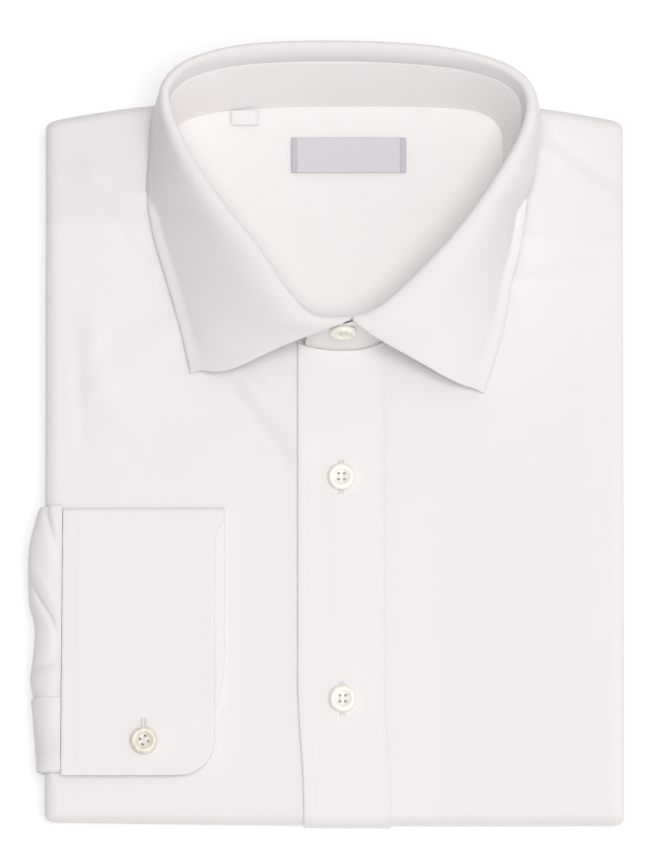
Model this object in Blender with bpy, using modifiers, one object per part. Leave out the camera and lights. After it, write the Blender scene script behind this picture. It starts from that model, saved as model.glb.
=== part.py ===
"""Long sleeve dress shirt, buttoned at the neck and folded flat as it lies on a shop's shelf.

The folded body lies on its back.  +X points to the wearer's left side, +Y to the collar and +Z up.
The origin is on the underside, near the middle of the folded body.  Lengths are in metres, and the
short tables are in millimetres.
"""
import math

import bmesh
import bpy
import numpy as np
from mathutils import Matrix, Vector

MM = 0.001

# Cloth and clearances
GAP = 0.3 * MM                      # between neighbouring pieces
CLOTH = 1.0 * MM                    # poplin with its pressed air, one layer
BAND_CLOTH = 1.3 * MM               # a folded and stitched band
COLLAR_CLOTH = 1.4 * MM             # interlined collar and cuff

# Folded body
BODY_HALF_WIDTH = 120.7 * MM
STACK_TOP = 18.0 * MM               # outer face of the fronts beside the folded edges
DOME_RISE = 1.2 * MM                # the stack is a little fuller in its middle
SIDE_FOLD_WIDE = 5.0 * MM           # half width of the body's side fold, level with the table
SIDE_FOLD_HIGH = 4.5 * MM           # half height of that fold
SIDE_FOLD_TURN = math.radians(150)  # how far the cloth follows the side fold
END_FOLD_FLATNESS = 0.56            # depth of the hem and shoulder folds against their half height
END_FOLD_TURN = math.radians(174)
HEM_EDGE_Y = -147.9 * MM
HEM_SLOPE = -0.006                  # the hem's fold is a little askew
HEM_BOW = 0.7 * MM                  # and a little fuller in its middle
BODY_SPREAD = 0.016                 # the body is this share wider at the shoulder than at the hem
BODY_LENGTH = 310.0 * MM            # over which it widens
SHOULDER_EDGE_Y = 162.4 * MM
SHOULDER_DROP = 10.8 * MM           # from the neck to the shoulder's corner
SHOULDER_POWER = 2.4
YOKE_SEAM_RIGHT_Y = 106.5 * MM      # front yoke seam on the wearer's right
YOKE_SEAM_LEFT_Y = 99.5 * MM
LINING_SEAM_Y = 111.0 * MM

# Layers, as heights of their outer faces where the body lies flat
FRONT_LEVEL = STACK_TOP
BACK_LEVEL = FRONT_LEVEL - CLOTH - GAP
CORE_LEVEL = BACK_LEVEL - CLOTH - GAP
PLACKET_LEVEL = FRONT_LEVEL + GAP + BAND_CLOTH

# Back and lining, which end under the folded edges of the outer pieces
INNER_SIDE_INSET = 1.0 * MM
INNER_HEM_INSET = 2.0 * MM
LINING_TURN = math.radians(32)      # how far the lining follows the shoulder's fold

# Front opening
PLACKET_EDGE_X = -15.4 * MM
PLACKET_WIDTH = 36.0 * MM
PLACKET_SWAY = 2.6 * MM             # the overlap drifts sideways near the hem
PLACKET_SWAY_START_Y = -88.0 * MM
PLACKET_SWAY_RUN = 55.0 * MM
PLACKET_TOP_Y = 70.0 * MM           # past the neckline, which is cut out of it
PLACKET_HEM_TURN = math.radians(138)
PLACKET_SIDE_RISE = 0.7 * MM        # the left front rises to the placket that it is sewn to
PLACKET_SIDE_RUN = 24.0 * MM
FRONT_OVERLAP_X = 14.0 * MM         # the right front runs on under the placket

# Collar
STAND_SEAT = 0.5 * MM               # its slanting lower edge needs this much over the layer below
NECK_CLEARANCE = 1.2 * MM           # from the stand's middle line to the cut edge of the body
NECK_CUT_LOW = 5.0 * MM
NECK_CUT_HIGH = 40.0 * MM
STAND_SHARE = 0.77                  # share of the rise from neck seam to fold that is stand
STAND_SHARE_FRONT = 0.87            # the same at the throat
STAND_SHARE_RUN = 80.0 * MM
STAND_END_DROP = 0.08               # the upper end, which bears no leaf, is this share lower
STAND_DROP_RUN = 4.0 * MM
STAND_END_HEIGHT = 0.35             # share of its height that the rounded end keeps at its tip
LEAF_SEAM_GAP = 0.5 * MM            # from the stand's upper edge to the leaf's inner one
STAND_BOW = 1.6 * MM                # the stand curls outwards towards its top
STAND_OVERLAP_SHIFT = 2.4 * MM      # the under end passes inside the upper one
STAND_OVERLAP_HOLD = 6.0 * MM       # it keeps this shift for so far past the overlap
STAND_OVERLAP_RUN = 30.0 * MM       # and loses it over this length
FOLD_RADIUS = 1.8 * MM              # turn of the leaf at its fold line
COLLAR_SECTIONS = 47
LEAF_ROWS = 5                       # sections down the outer side of the leaf
LEAF_BELLY_SKEW = 0.6               # the leaf is fullest below its middle
LEAF_FRONT_SKEW = 2.0               # and at the front near its lower edge

# Cuff, flattened with its axis along X
CUFF_LEFT_X = -113.8 * MM
CUFF_UPPER_RIGHT_X = -50.2 * MM
CUFF_LOWER_RIGHT_X = -46.0 * MM
CUFF_LOWER_END_X = -53.6 * MM
CUFF_FOLD_Y = -17.0 * MM
CUFF_END_Y = -129.0 * MM
CUFF_OVERLAP = 27.0 * MM
CUFF_INNER_RISE = 8.0 * MM          # the inner layer turns up this far above the upper one's end
CUFF_CORNER = 14.5 * MM
CUFF_PITCH = COLLAR_CLOTH + GAP
CUFF_UPPER_ROWS = 14                # sections along the upper layer
CUFF_STEP_RUN = 14.0 * MM           # the upper layer draws back from the lower one over this length
CUFF_SLANT_START = 64.0 * MM        # from the fold to where the lower layer's edge slants in
CUFF_SLANT_RUN = 42.0 * MM

# Sleeve round the body's side
SLEEVE_CLOTH = 1.4 * MM             # two layers pressed together
SLEEVE_CLEARANCE = 0.4 * MM         # from the cuff to where the sleeve starts
SLEEVE_TOP_Y = -15.0 * MM
SLEEVE_BOTTOM_Y = -127.5 * MM
SLEEVE_PLACKET_TOP_Y = -96.0 * MM
SLEEVE_PLACKET_INSET = 0.5 * MM     # it ends this far short of the sleeve's lower edge

# Buttons
BUTTON_RADIUS = 5.65 * MM
BUTTON_THICKNESS = 2.6 * MM
BUTTON_HOLE_RADIUS = 0.75 * MM
BUTTON_HOLE_SPACING = 2.3 * MM
FRONT_BUTTON_SPIN = 0.3             # how far each button is turned on its thread
CUFF_BUTTON_SPIN = 0.5
COLLAR_BUTTON_TILT = math.radians(77)

# Places of the buttons: x and y of those that lie flat, and z too at the collar
FRONT_BUTTONS = [("button_front_1", 2.9, -3.1), ("button_front_2", 3.4, -96.8)]
CUFF_BUTTON = (-79.2, -114.7)
COLLAR_BUTTON = (3.6, 56.7, 36.2)

# Neckline at the stand's lower edge, from the throat round the wearer's right side: x, y
NECKLINE = [
    (4.4, 51.2), (-13.0, 53.6), (-30.5, 64.3), (-47.5, 84.5), (-61.0, 106.0), (-69.0, 124.0),
    (-71.5, 138.0), (-67.0, 149.0), (-54.5, 154.5), (-30.0, 157.2), (4.5, 158.0), (41.0, 157.6),
    (60.0, 155.8), (70.0, 149.5), (72.5, 137.5), (70.0, 120.0), (61.5, 100.5), (46.5, 79.0),
    (32.0, 63.4), (18.0, 53.8),
]

# Outer face of the collar's fold at its top, in the same direction: x, y, z
FOLD_LINE = [
    (4.8, 57.3, 45.5), (-11.0, 58.5, 46.3), (-22.3, 69.3, 47.8), (-34.5, 87.3, 49.5),
    (-49.0, 105.5, 51.0), (-61.7, 124.0, 52.0), (-69.0, 138.8, 52.0), (-72.8, 150.0, 52.0),
    (-71.8, 160.2, 52.0), (-60.6, 170.2, 52.0), (-36.4, 176.4, 52.0), (2.3, 177.8, 52.0),
    (40.0, 175.8, 52.0), (64.4, 170.7, 52.0), (78.8, 162.9, 52.0), (84.1, 152.2, 52.0),
    (81.1, 136.7, 52.0), (68.7, 114.6, 51.5), (52.4, 92.6, 50.5), (33.4, 72.6, 48.4),
    (18.4, 60.5, 46.7),
]

# Lower edge of the collar leaf from the right point to the left one: x, y, z, belly
LEAF_EDGE = [
    (-60.3, 41.2, 20.5, 4.6), (-65.2, 62.0, 20.5, 4.5), (-70.6, 81.0, 20.4, 3.6),
    (-76.5, 101.5, 20.3, 2.2), (-78.8, 117.0, 20.2, 2.6), (-78.0, 133.0, 20.0, 3.6),
    (-76.8, 148.0, 20.0, 2.6), (-73.0, 161.5, 16.0, 1.8), (-60.0, 172.5, 10.5, 2.0),
    (-36.0, 178.5, 7.5, 2.5), (2.0, 180.5, 6.5, 2.5), (40.0, 179.0, 7.0, 2.5),
    (66.0, 174.0, 10.0, 2.0), (80.2, 164.0, 15.0, 1.7), (83.0, 151.0, 20.0, 2.2),
    (82.6, 131.0, 20.2, 2.8), (81.0, 112.0, 20.3, 1.8), (78.3, 95.0, 20.4, 2.0),
    (74.0, 78.0, 20.5, 2.0), (70.0, 57.0, 20.5, 1.5), (62.5, 32.6, 20.5, 1.5),
]
LEAF_RIGHT_END = -1.9 * MM          # along the fold line, from the throat to the leaf's front edge
LEAF_LEFT_END = 3.0 * MM
STAND_RIGHT_END = 17.0 * MM         # the under end, past the throat
STAND_LEFT_END = 17.5 * MM          # the upper end, past the throat
STAND_END_ROUND = 13.0 * MM         # length over which a stand's end is rounded down

# Side of the hidden layers, from the top down: reach past the flat part, height, in millimetres
CORE_SIDE = [
    (1.0, 15.4), (2.5, 14.6), (3.1, 13.4), (2.7, 12.0), (1.7, 10.9), (1.0, 9.9), (1.6, 9.1),
    (3.6, 8.4), (4.6, 7.0), (4.3, 5.6), (3.1, 4.9), (4.1, 4.1), (4.4, 2.6), (3.7, 1.0), (2.4, 0.0),
]
CORE_SPANS = 6
CORE_INSET = 0.8 * MM               # from the start of an end's fold to the last full section

# Ends of the hidden layers, from the outermost section in: reach past the last full section and
# draw-in of the sides, in millimetres, with the share of the full height between them
CORE_END = [(4.8, 0.30, 9.0), (4.0, 0.55, 7.0), (2.4, 0.76, 5.5), (0.6, 0.84, 4.5)]

# Soft raised folds of the fronts: x and y of both ends, half width, height
FRONT_FOLDS = [
    (-102.0, 124.0, -84.0, 112.0, 9.0, 0.9),
    (-42.0, 34.0, -20.0, 2.0, 10.0, 0.9),
    (-102.0, 44.0, -92.0, 8.0, 12.0, 0.6),
    (76.0, 77.0, 102.0, 82.0, 8.0, 0.7),
]

# Outer edge of the sleeve where it comes round the side: y, x
SLEEVE_EDGE = [
    (-15.0, -124.2), (-21.0, -126.0), (-30.0, -128.0), (-38.0, -128.7), (-46.0, -128.6),
    (-55.0, -128.2), (-59.0, -127.3), (-64.0, -126.0), (-72.0, -125.6), (-80.0, -126.6),
    (-88.0, -127.4), (-96.0, -126.0), (-111.0, -124.6), (-127.5, -123.2),
]

# Section of the sleeve from the cuff over the side: share of the reach to the outer edge, height
SLEEVE_SECTION = [
    (0.0, 20.6), (0.25, 20.5), (0.5, 19.9), (0.72, 18.4), (0.88, 16.1), (0.97, 13.2), (1.0, 10.0),
    (0.99, 6.5), (0.94, 3.3), (0.84, 1.25),
]

# Puffs of the sleeve between its creases: y at the cuff, y at the side, half width, height
SLEEVE_PUFFS = [
    (-34.0, -30.0, 10.0, 1.2), (-74.0, -72.0, 8.0, 1.3), (-88.0, -92.0, 6.0, 0.4),
]

PIECE_COLLECTION = "dress_shirt"
CUTTER_COLLECTION = "cutters"

WHITE_POPLIN = ("white_poplin", (0.86, 0.84, 0.83, 1.0), 0.75)
INNER_POPLIN = ("inner_poplin", (0.87, 0.85, 0.83, 1.0), 0.75)
LABEL_SATIN = ("label_satin", (0.80, 0.79, 0.88, 1.0), 0.5)
TAG_SATIN = ("tag_satin", (0.90, 0.90, 0.92, 1.0), 0.5)
BUTTON_SHELL = ("button_shell", (0.88, 0.84, 0.74, 1.0), 0.25)

# Labels on the yoke lining: name, x and y where each begins and ends, finish
LABELS = [
    ("neck_label", -18.0, 29.9, 128.1, 143.3, LABEL_SATIN),
    ("size_tag", -43.2, -31.8, 148.8, 155.3, TAG_SATIN),
]


def clear_scene():
    """Remove every object that the file holds."""
    for scene_object in list(bpy.data.objects):
        bpy.data.objects.remove(scene_object, do_unlink=True)


def new_collection(name):
    collection = bpy.data.collections.new(name)
    bpy.context.scene.collection.children.link(collection)
    return collection


def plain_material(finish):
    """Principled material of one colour and roughness."""
    name, color, roughness = finish
    material = bpy.data.materials.new(name)
    material.use_nodes = True
    shader = material.node_tree.nodes["Principled BSDF"]
    shader.inputs["Base Color"].default_value = color
    shader.inputs["Roughness"].default_value = roughness
    return material


def add_piece(name, mesh, finish):
    """Link a mesh as a named piece with its own material, shaded smooth but for its edges."""
    mesh.materials.append(plain_material((name + "_" + finish[0],) + finish[1:]))
    mesh.shade_smooth()
    mesh.set_sharp_from_angle(angle=math.radians(40))
    piece = bpy.data.objects.new(name, mesh)
    bpy.data.collections[PIECE_COLLECTION].objects.link(piece)
    return piece


def add_cutter(name, mesh):
    cutter = bpy.data.objects.new(name, mesh)
    cutter.hide_render = True
    cutter.display_type = "WIRE"
    bpy.data.collections[CUTTER_COLLECTION].objects.link(cutter)
    return cutter


def cut(piece, cutter):
    boolean = piece.modifiers.new("cut_" + cutter.name, "BOOLEAN")
    boolean.operation = "DIFFERENCE"
    boolean.solver = "EXACT"
    boolean.object = cutter


def thicken(piece, thickness):
    """Give an open sheet its wall, half of it on each side."""
    solidify = piece.modifiers.new("wall", "SOLIDIFY")
    solidify.thickness = thickness
    solidify.offset = 0.0


def bmesh_to_mesh(shape, name):
    bmesh.ops.recalc_face_normals(shape, faces=shape.faces)
    mesh = bpy.data.meshes.new(name)
    shape.to_mesh(mesh)
    shape.free()
    return mesh


def grid_index(vertex, rows, columns):
    """Row and column of a vertex of a unit grid."""
    column = round((vertex.co.x + 0.5) * (columns - 1))
    row = round((vertex.co.y + 0.5) * (rows - 1))
    return row, column


def unit_grid(rows, columns):
    """Flat grid of rows by columns points, one unit wide each way."""
    shape = bmesh.new()
    bmesh.ops.create_grid(shape, x_segments=columns - 1, y_segments=rows - 1, size=0.5)
    return shape


def sheet_mesh(name, points):
    """Open sheet through a rows by columns array of points."""
    rows, columns = points.shape[:2]
    shape = unit_grid(rows, columns)
    for vertex in shape.verts:
        vertex.co = Vector(points[grid_index(vertex, rows, columns)])
    return bmesh_to_mesh(shape, name)


def slab_mesh(name, outer, inner):
    """Closed wall between an outer and an inner array of points."""
    rows, columns = outer.shape[:2]
    shape = unit_grid(rows, columns)
    extruded = bmesh.ops.extrude_face_region(shape, geom=shape.faces[:], use_keep_orig=True)
    inner_vertices = {item for item in extruded["geom"] if isinstance(item, bmesh.types.BMVert)}
    for vertex in shape.verts:
        source = inner if vertex in inner_vertices else outer
        vertex.co = Vector(source[grid_index(vertex, rows, columns)])
    return bmesh_to_mesh(shape, name)


def loft_mesh(name, rings):
    """Closed solid through rings of equal point counts, capped at both ends."""
    shape = bmesh.new()
    loops = [[shape.verts.new(Vector(point)) for point in ring] for ring in rings]
    count = len(loops[0])
    for lower, upper in zip(loops, loops[1:]):
        for index in range(count):
            following = (index + 1) % count
            shape.faces.new((lower[index], lower[following], upper[following], upper[index]))
    shape.faces.new(list(reversed(loops[0])))
    shape.faces.new(loops[-1])
    return bmesh_to_mesh(shape, name)


def smooth_step(value):
    value = np.clip(value, 0.0, 1.0)
    return value * value * (3.0 - 2.0 * value)


def smooth_path(points, count, start=0.0, end=0.0, closed=False):
    """Points at equal arc lengths on a Catmull-Rom curve through the given points.

    start is added to the distance of the first point and end to that of the last, so that a closed
    curve can overlap itself.  Values after the first three columns are carried along.
    """
    points = np.asarray(points, dtype=float)
    if closed:
        points = np.vstack([points, points, points])
    ends_before = 2.0 * points[0] - points[1]
    ends_after = 2.0 * points[-1] - points[-2]
    padded = np.vstack([ends_before, points, ends_after])
    steps = np.linspace(0.0, 1.0, 12, endpoint=False)[:, None]
    pieces = []
    for before, first, second, after in zip(padded, padded[1:], padded[2:], padded[3:]):
        pieces.append(
            0.5 * (2.0 * first + (second - before) * steps
                   + (2.0 * before - 5.0 * first + 4.0 * second - after) * steps ** 2
                   + (3.0 * first - before - 3.0 * second + after) * steps ** 3))
    dense = np.vstack(pieces + [padded[-2][None, :]])
    spatial = dense[:, :3]
    lengths = np.concatenate([[0.0], np.cumsum(np.linalg.norm(np.diff(spatial, axis=0), axis=1))])
    if closed:
        one_turn = lengths[12 * (len(points) // 3)]
        lower, upper = one_turn + start, 2.0 * one_turn + end
    else:
        lower, upper = start, lengths[-1] + end
    wanted = np.linspace(lower, upper, count)
    return np.column_stack([np.interp(wanted, lengths, column) for column in dense.T])


def outward_normals(path):
    """Horizontal unit normals of a path that runs round the neck, pointing away from it."""
    tangents = np.gradient(path[:, :2], axis=0)
    normals = np.column_stack([-tangents[:, 1], tangents[:, 0]])
    return normals / np.linalg.norm(normals, axis=1)[:, None]


def dome(x, y):
    """Extra height of the stack towards its middle."""
    across = np.clip(1.0 - (x / BODY_HALF_WIDTH) ** 2, 0.0, 1.0)
    along = np.clip(1.0 - (y / SHOULDER_EDGE_Y) ** 2, 0.0, 1.0)
    return DOME_RISE * across * along


def folds(x, y):
    """Height of the soft folds pressed into the fronts."""
    total = np.zeros(np.broadcast(x, y).shape)
    for x_a, y_a, x_b, y_b, half_width, height in np.array(FRONT_FOLDS) * MM:
        run_x, run_y = x_b - x_a, y_b - y_a
        length = math.hypot(run_x, run_y)
        along = ((x - x_a) * run_x + (y - y_a) * run_y) / length
        across = ((x - x_a) * run_y - (y - y_a) * run_x) / length
        beyond = np.clip(np.maximum(-along, along - length), 0.0, None)
        total += height * np.exp(-(across ** 2 + beyond ** 2) / half_width ** 2)
    return total


def hem_start(x):
    """Where the cloth begins to turn over the hem's fold."""
    bow = HEM_BOW * (1.0 - (x / BODY_HALF_WIDTH) ** 2)
    return HEM_EDGE_Y + HEM_SLOPE * x - bow + END_FOLD_FLATNESS * STACK_TOP / 2.0


def shoulder_start(x):
    """Where the cloth begins to turn over the shoulder's fold."""
    slope = SHOULDER_DROP * (np.abs(x) / BODY_HALF_WIDTH) ** SHOULDER_POWER
    return SHOULDER_EDGE_Y - slope - END_FOLD_FLATNESS * STACK_TOP / 2.0


FLAT_HALF_WIDTH = BODY_HALF_WIDTH - SIDE_FOLD_WIDE
SIDE_FOLD_ARC = 0.5 * (SIDE_FOLD_WIDE + SIDE_FOLD_HIGH)
END_FOLD_ARC = 0.25 * STACK_TOP * (1.0 + END_FOLD_FLATNESS)
SIDE_REACH = FLAT_HALF_WIDTH + SIDE_FOLD_TURN * SIDE_FOLD_ARC


def widened(x, y):
    """Spread the folded body from its hem towards its shoulders."""
    return x * (1.0 + BODY_SPREAD * (y - HEM_EDGE_Y) / BODY_LENGTH)


def drape(across, along, level, relief=0.0):
    """Lay points of the flat cloth on the folded body.

    across and along are distances on the cloth from the middle of the body.  level is the layer's
    height where the body is flat, and relief is added to it there.  The cloth turns round the side
    fold first, and what comes of that turns over the hem or the shoulder.
    """
    depth = STACK_TOP - level
    turn = np.clip(np.abs(across) - FLAT_HALF_WIDTH, 0.0, None) / SIDE_FOLD_ARC
    reach = np.minimum(np.abs(across), FLAT_HALF_WIDTH) + (SIDE_FOLD_WIDE - depth) * np.sin(turn)
    x = np.sign(across) * reach
    side_axis = STACK_TOP - SIDE_FOLD_HIGH
    height = side_axis + (SIDE_FOLD_HIGH - depth) * np.cos(turn)
    past_hem = np.clip(hem_start(x) - along, 0.0, None) / END_FOLD_ARC
    past_shoulder = np.clip(along - shoulder_start(x), 0.0, None) / END_FOLD_ARC
    end_turn = past_hem + past_shoulder
    fullness = (dome(x, along) + relief) * np.clip(np.cos(turn), 0.0, 1.0)
    end_axis = STACK_TOP / 2.0
    radius = height - end_axis + fullness * np.clip(np.cos(end_turn), 0.0, 1.0)
    y = np.clip(along, hem_start(x), shoulder_start(x))
    y = y + END_FOLD_FLATNESS * radius * np.sin(end_turn) * np.where(past_hem > 0.0, -1.0, 1.0)
    z = end_axis + radius * np.cos(end_turn)
    return np.stack(np.broadcast_arrays(widened(x, y), y, z), axis=-1)


def layer_height(x, y, level):
    """Height of a layer's outer face over a place between the side folds."""
    radius = level - STACK_TOP / 2.0
    past_shoulder = np.clip(y - shoulder_start(x), 0.0, None) / (END_FOLD_FLATNESS * radius)
    turned = np.sqrt(1.0 - np.clip(past_shoulder, 0.0, 0.99) ** 2)
    return STACK_TOP / 2.0 + radius * turned + dome(x, y) * turned


def spread(*spans):
    """Stations through several spans, each given as (first, last, number of steps)."""
    stations = [spans[0][0]]
    for first, last, steps in spans:
        stations.extend(np.linspace(first, last, steps + 1)[1:])
    return np.array(stations)


def body_panel(name, across, along_rows, level, thickness, finish, relief=None, sway=None):
    """Panel of cloth laid on the folded body.

    along_rows gives, for the stations across, the distance along for each row.  sway moves a place
    sideways.
    """
    along = np.array([row(across) for row in along_rows])
    across = np.broadcast_to(across, along.shape)
    if sway:
        across = across + sway(across, along)
    lift = relief(across, along) if relief else np.zeros(along.shape)
    outer = drape(across, along, level, lift)
    inner = drape(across, along, level - thickness, lift)
    return add_piece(name, slab_mesh(name, outer, inner), finish)


def hem_turn_rows(steps, turn=END_FOLD_TURN):
    """Rows over the hem's fold, from the underside up to where the cloth is flat."""
    shares = np.linspace(1.0, 0.0, steps + 1)
    return [lambda across, share=share: hem_start(across) - share * turn * END_FOLD_ARC
            for share in shares]


def shoulder_turn_rows(steps, turn=END_FOLD_TURN):
    """Rows over the shoulder's fold, from where the cloth is flat to the underside."""
    shares = np.linspace(0.0, 1.0, steps + 1)
    return [lambda across, share=share: shoulder_start(across) + share * turn * END_FOLD_ARC
            for share in shares]


def between_rows(lower, upper, steps):
    """Inner rows between two boundary functions, both left out."""
    shares = np.linspace(0.0, 1.0, steps + 1)[1:-1]
    return [lambda across, share=share: lower(across) + share * (upper(across) - lower(across))
            for share in shares]


def yoke_seam(across):
    """Front yoke seam, a little higher on the wearer's right."""
    share = smooth_step((across / MM + 60.0) / 120.0)
    return YOKE_SEAM_RIGHT_Y + share * (YOKE_SEAM_LEFT_Y - YOKE_SEAM_RIGHT_Y)


def front_rows(flat_steps):
    top = [lambda across: yoke_seam(across) - GAP / 2.0]
    return hem_turn_rows(7) + between_rows(hem_start, yoke_seam, flat_steps) + top


def left_front_relief(across, along):
    """The left front's folds, and its rise beside the placket that it is sewn to."""
    seam_x = PLACKET_EDGE_X + PLACKET_WIDTH
    rise = PLACKET_SIDE_RISE * (1.0 - smooth_step((across - seam_x) / PLACKET_SIDE_RUN))
    return folds(across, along) + rise


def placket_sway(across, along):
    """Sideways drift of the overlap near the hem, which dies out towards the side fold."""
    drift = PLACKET_SWAY * smooth_step((PLACKET_SWAY_START_Y - along) / PLACKET_SWAY_RUN)
    seam_x = PLACKET_EDGE_X + PLACKET_WIDTH + GAP
    fade = np.clip((across - seam_x) / (FLAT_HALF_WIDTH - seam_x), 0.0, 1.0)
    return drift * (1.0 - fade)


def side_turn_stations(steps):
    return spread((FLAT_HALF_WIDTH, SIDE_REACH, steps))


def build_fronts():
    side = side_turn_stations(6)
    right_across = np.concatenate([
        -side[::-1], spread((-FLAT_HALF_WIDTH, FRONT_OVERLAP_X, 12))[1:]])
    left_edge = PLACKET_EDGE_X + PLACKET_WIDTH + GAP
    left_across = np.concatenate([spread((left_edge, FLAT_HALF_WIDTH, 8))[:-1], side])
    rows = front_rows(16)
    right = body_panel(
        "front_right", right_across, rows, FRONT_LEVEL, CLOTH, WHITE_POPLIN, folds)
    left = body_panel(
        "front_left", left_across, rows, FRONT_LEVEL, CLOTH, WHITE_POPLIN, left_front_relief,
        placket_sway)
    return [right, left]


def build_placket():
    across = spread((PLACKET_EDGE_X, PLACKET_EDGE_X + PLACKET_WIDTH, 4))
    rows = hem_turn_rows(6, PLACKET_HEM_TURN)
    rows += between_rows(hem_start, lambda x: PLACKET_TOP_Y + 0.0 * x, 20)
    return body_panel(
        "placket", across, rows, PLACKET_LEVEL, BAND_CLOTH, WHITE_POPLIN, folds, placket_sway)


def build_yoke():
    side = side_turn_stations(6)
    flat = spread((-FLAT_HALF_WIDTH, FLAT_HALF_WIDTH, 15))[1:-1]
    across = np.concatenate([-side[::-1], flat, side])
    rows = [lambda x: yoke_seam(x) + GAP / 2.0]
    rows += between_rows(yoke_seam, shoulder_start, 5)
    rows += shoulder_turn_rows(7)
    return body_panel("yoke", across, rows, FRONT_LEVEL, CLOTH, WHITE_POPLIN, folds)


def build_back_and_lining():
    half = FLAT_HALF_WIDTH - INNER_SIDE_INSET
    across = spread((-half, half, 10))
    seam = lambda x: LINING_SEAM_Y + 0.0 * x
    back_rows = [lambda x: hem_start(x) + INNER_HEM_INSET]
    back_rows += between_rows(hem_start, seam, 8) + [lambda x: seam(x) - GAP / 2.0]
    lining_rows = [lambda x: seam(x) + GAP / 2.0] + between_rows(seam, shoulder_start, 4)
    lining_rows += shoulder_turn_rows(2, LINING_TURN)
    body_panel("back", across, back_rows, BACK_LEVEL, CLOTH, INNER_POPLIN)
    body_panel("yoke_lining", across, lining_rows, BACK_LEVEL, CLOTH, INNER_POPLIN)


def core_ring(y_of, height_scale, trim):
    """One section of the hidden layers.

    y_of gives y for each x, height_scale closes the section towards the axis of the end folds, and
    trim draws its sides in.
    """
    side = np.array(CORE_SIDE) * MM
    side_x = FLAT_HALF_WIDTH + side[:, 0] - trim
    top_x = np.linspace(-side_x[0], side_x[0], CORE_SPANS + 1)[1:-1]
    bottom_x = np.linspace(side_x[-1], -side_x[-1], CORE_SPANS + 1)[1:-1]
    x = np.concatenate([top_x, side_x, bottom_x, -side_x[::-1]])
    z = np.concatenate([
        np.full(CORE_SPANS - 1, CORE_LEVEL), side[:, 1],
        np.zeros(CORE_SPANS - 1), side[::-1, 1]])
    y = y_of(x)
    z = z + dome(x, y) * smooth_step((z - 0.5 * CORE_LEVEL) / (0.5 * CORE_LEVEL))
    end_axis = STACK_TOP / 2.0
    z = end_axis + (z - end_axis) * height_scale
    return np.column_stack([widened(x, y), y, z])


def core_start(x):
    return hem_start(x) + CORE_INSET


def core_end(x):
    return shoulder_start(x) - CORE_INSET


def build_folded_layers():
    """The hidden back, tail and sleeves as one solid whose sides show the folded layers."""
    rings = []
    for reach, scale, trim in CORE_END:
        rings.append(core_ring(lambda x, d=reach * MM: core_start(x) - d, scale, trim * MM))
    for share in np.linspace(0.0, 1.0, 9):
        rings.append(core_ring(
            lambda x, s=share: (1.0 - s) * core_start(x) + s * core_end(x), 1.0, 0.0))
    for reach, scale, trim in reversed(CORE_END):
        rings.append(core_ring(lambda x, d=reach * MM: core_end(x) + d, scale, trim * MM))
    add_piece("folded_layers", loft_mesh("folded_layers", rings), INNER_POPLIN)


def neckline_points():
    """Neckline as x, y, z rows, at the height of the stand's lower edge."""
    line = np.array(NECKLINE) * MM
    height = layer_height(line[:, 0], line[:, 1], BACK_LEVEL) + GAP + STAND_SEAT
    return np.column_stack([line, height])


def build_neck_cutter():
    """Prism that takes the neck out of the fronts, the placket and the yoke."""
    path = smooth_path(neckline_points(), 73, closed=True)[:-1]
    outline = path[:, :2] + NECK_CLEARANCE * outward_normals(
        np.vstack([path[-1:], path, path[:1]]))[1:-1]
    shape = bmesh.new()
    lower = [shape.verts.new((x, y, NECK_CUT_LOW)) for x, y in outline]
    face = shape.faces.new(lower)
    extruded = bmesh.ops.extrude_face_region(shape, geom=[face], use_keep_orig=True)
    for item in extruded["geom"]:
        if isinstance(item, bmesh.types.BMVert):
            item.co.z = NECK_CUT_HIGH
    return add_cutter("neck_cutter", bmesh_to_mesh(shape, "neck_cutter"))


def overlap_shift(distance):
    """How far inside the neckline the stand runs, by distance from its under end."""
    past_overlap = distance - STAND_RIGHT_END - STAND_LEFT_END
    faded = smooth_step((past_overlap - STAND_OVERLAP_HOLD) / STAND_OVERLAP_RUN)
    return STAND_OVERLAP_SHIFT * (1.0 - faded)


def stand_share(distance):
    """Share of the rise to the fold that is stand, by distance from the throat."""
    return STAND_SHARE + (STAND_SHARE_FRONT - STAND_SHARE) * (
        1.0 - smooth_step(distance / STAND_SHARE_RUN))


def stand_curl(height):
    """Inward curl of the stand at a share of its height."""
    return STAND_BOW * np.sin(math.pi * height)


def collar_lines(start, end):
    """Neck seam, middle of the fold and outward directions, cut to a stretch round the neck."""
    base = smooth_path(neckline_points(), COLLAR_SECTIONS, start, end, True)
    fold = smooth_path(np.array(FOLD_LINE) * MM, COLLAR_SECTIONS, start, end, True)
    outward = np.column_stack([outward_normals(fold), np.zeros(len(fold))])
    return base, fold - FOLD_RADIUS * outward, outward


def path_distance(path):
    steps = np.linalg.norm(np.diff(path, axis=0), axis=1)
    return np.concatenate([[0.0], np.cumsum(steps)])


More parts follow.
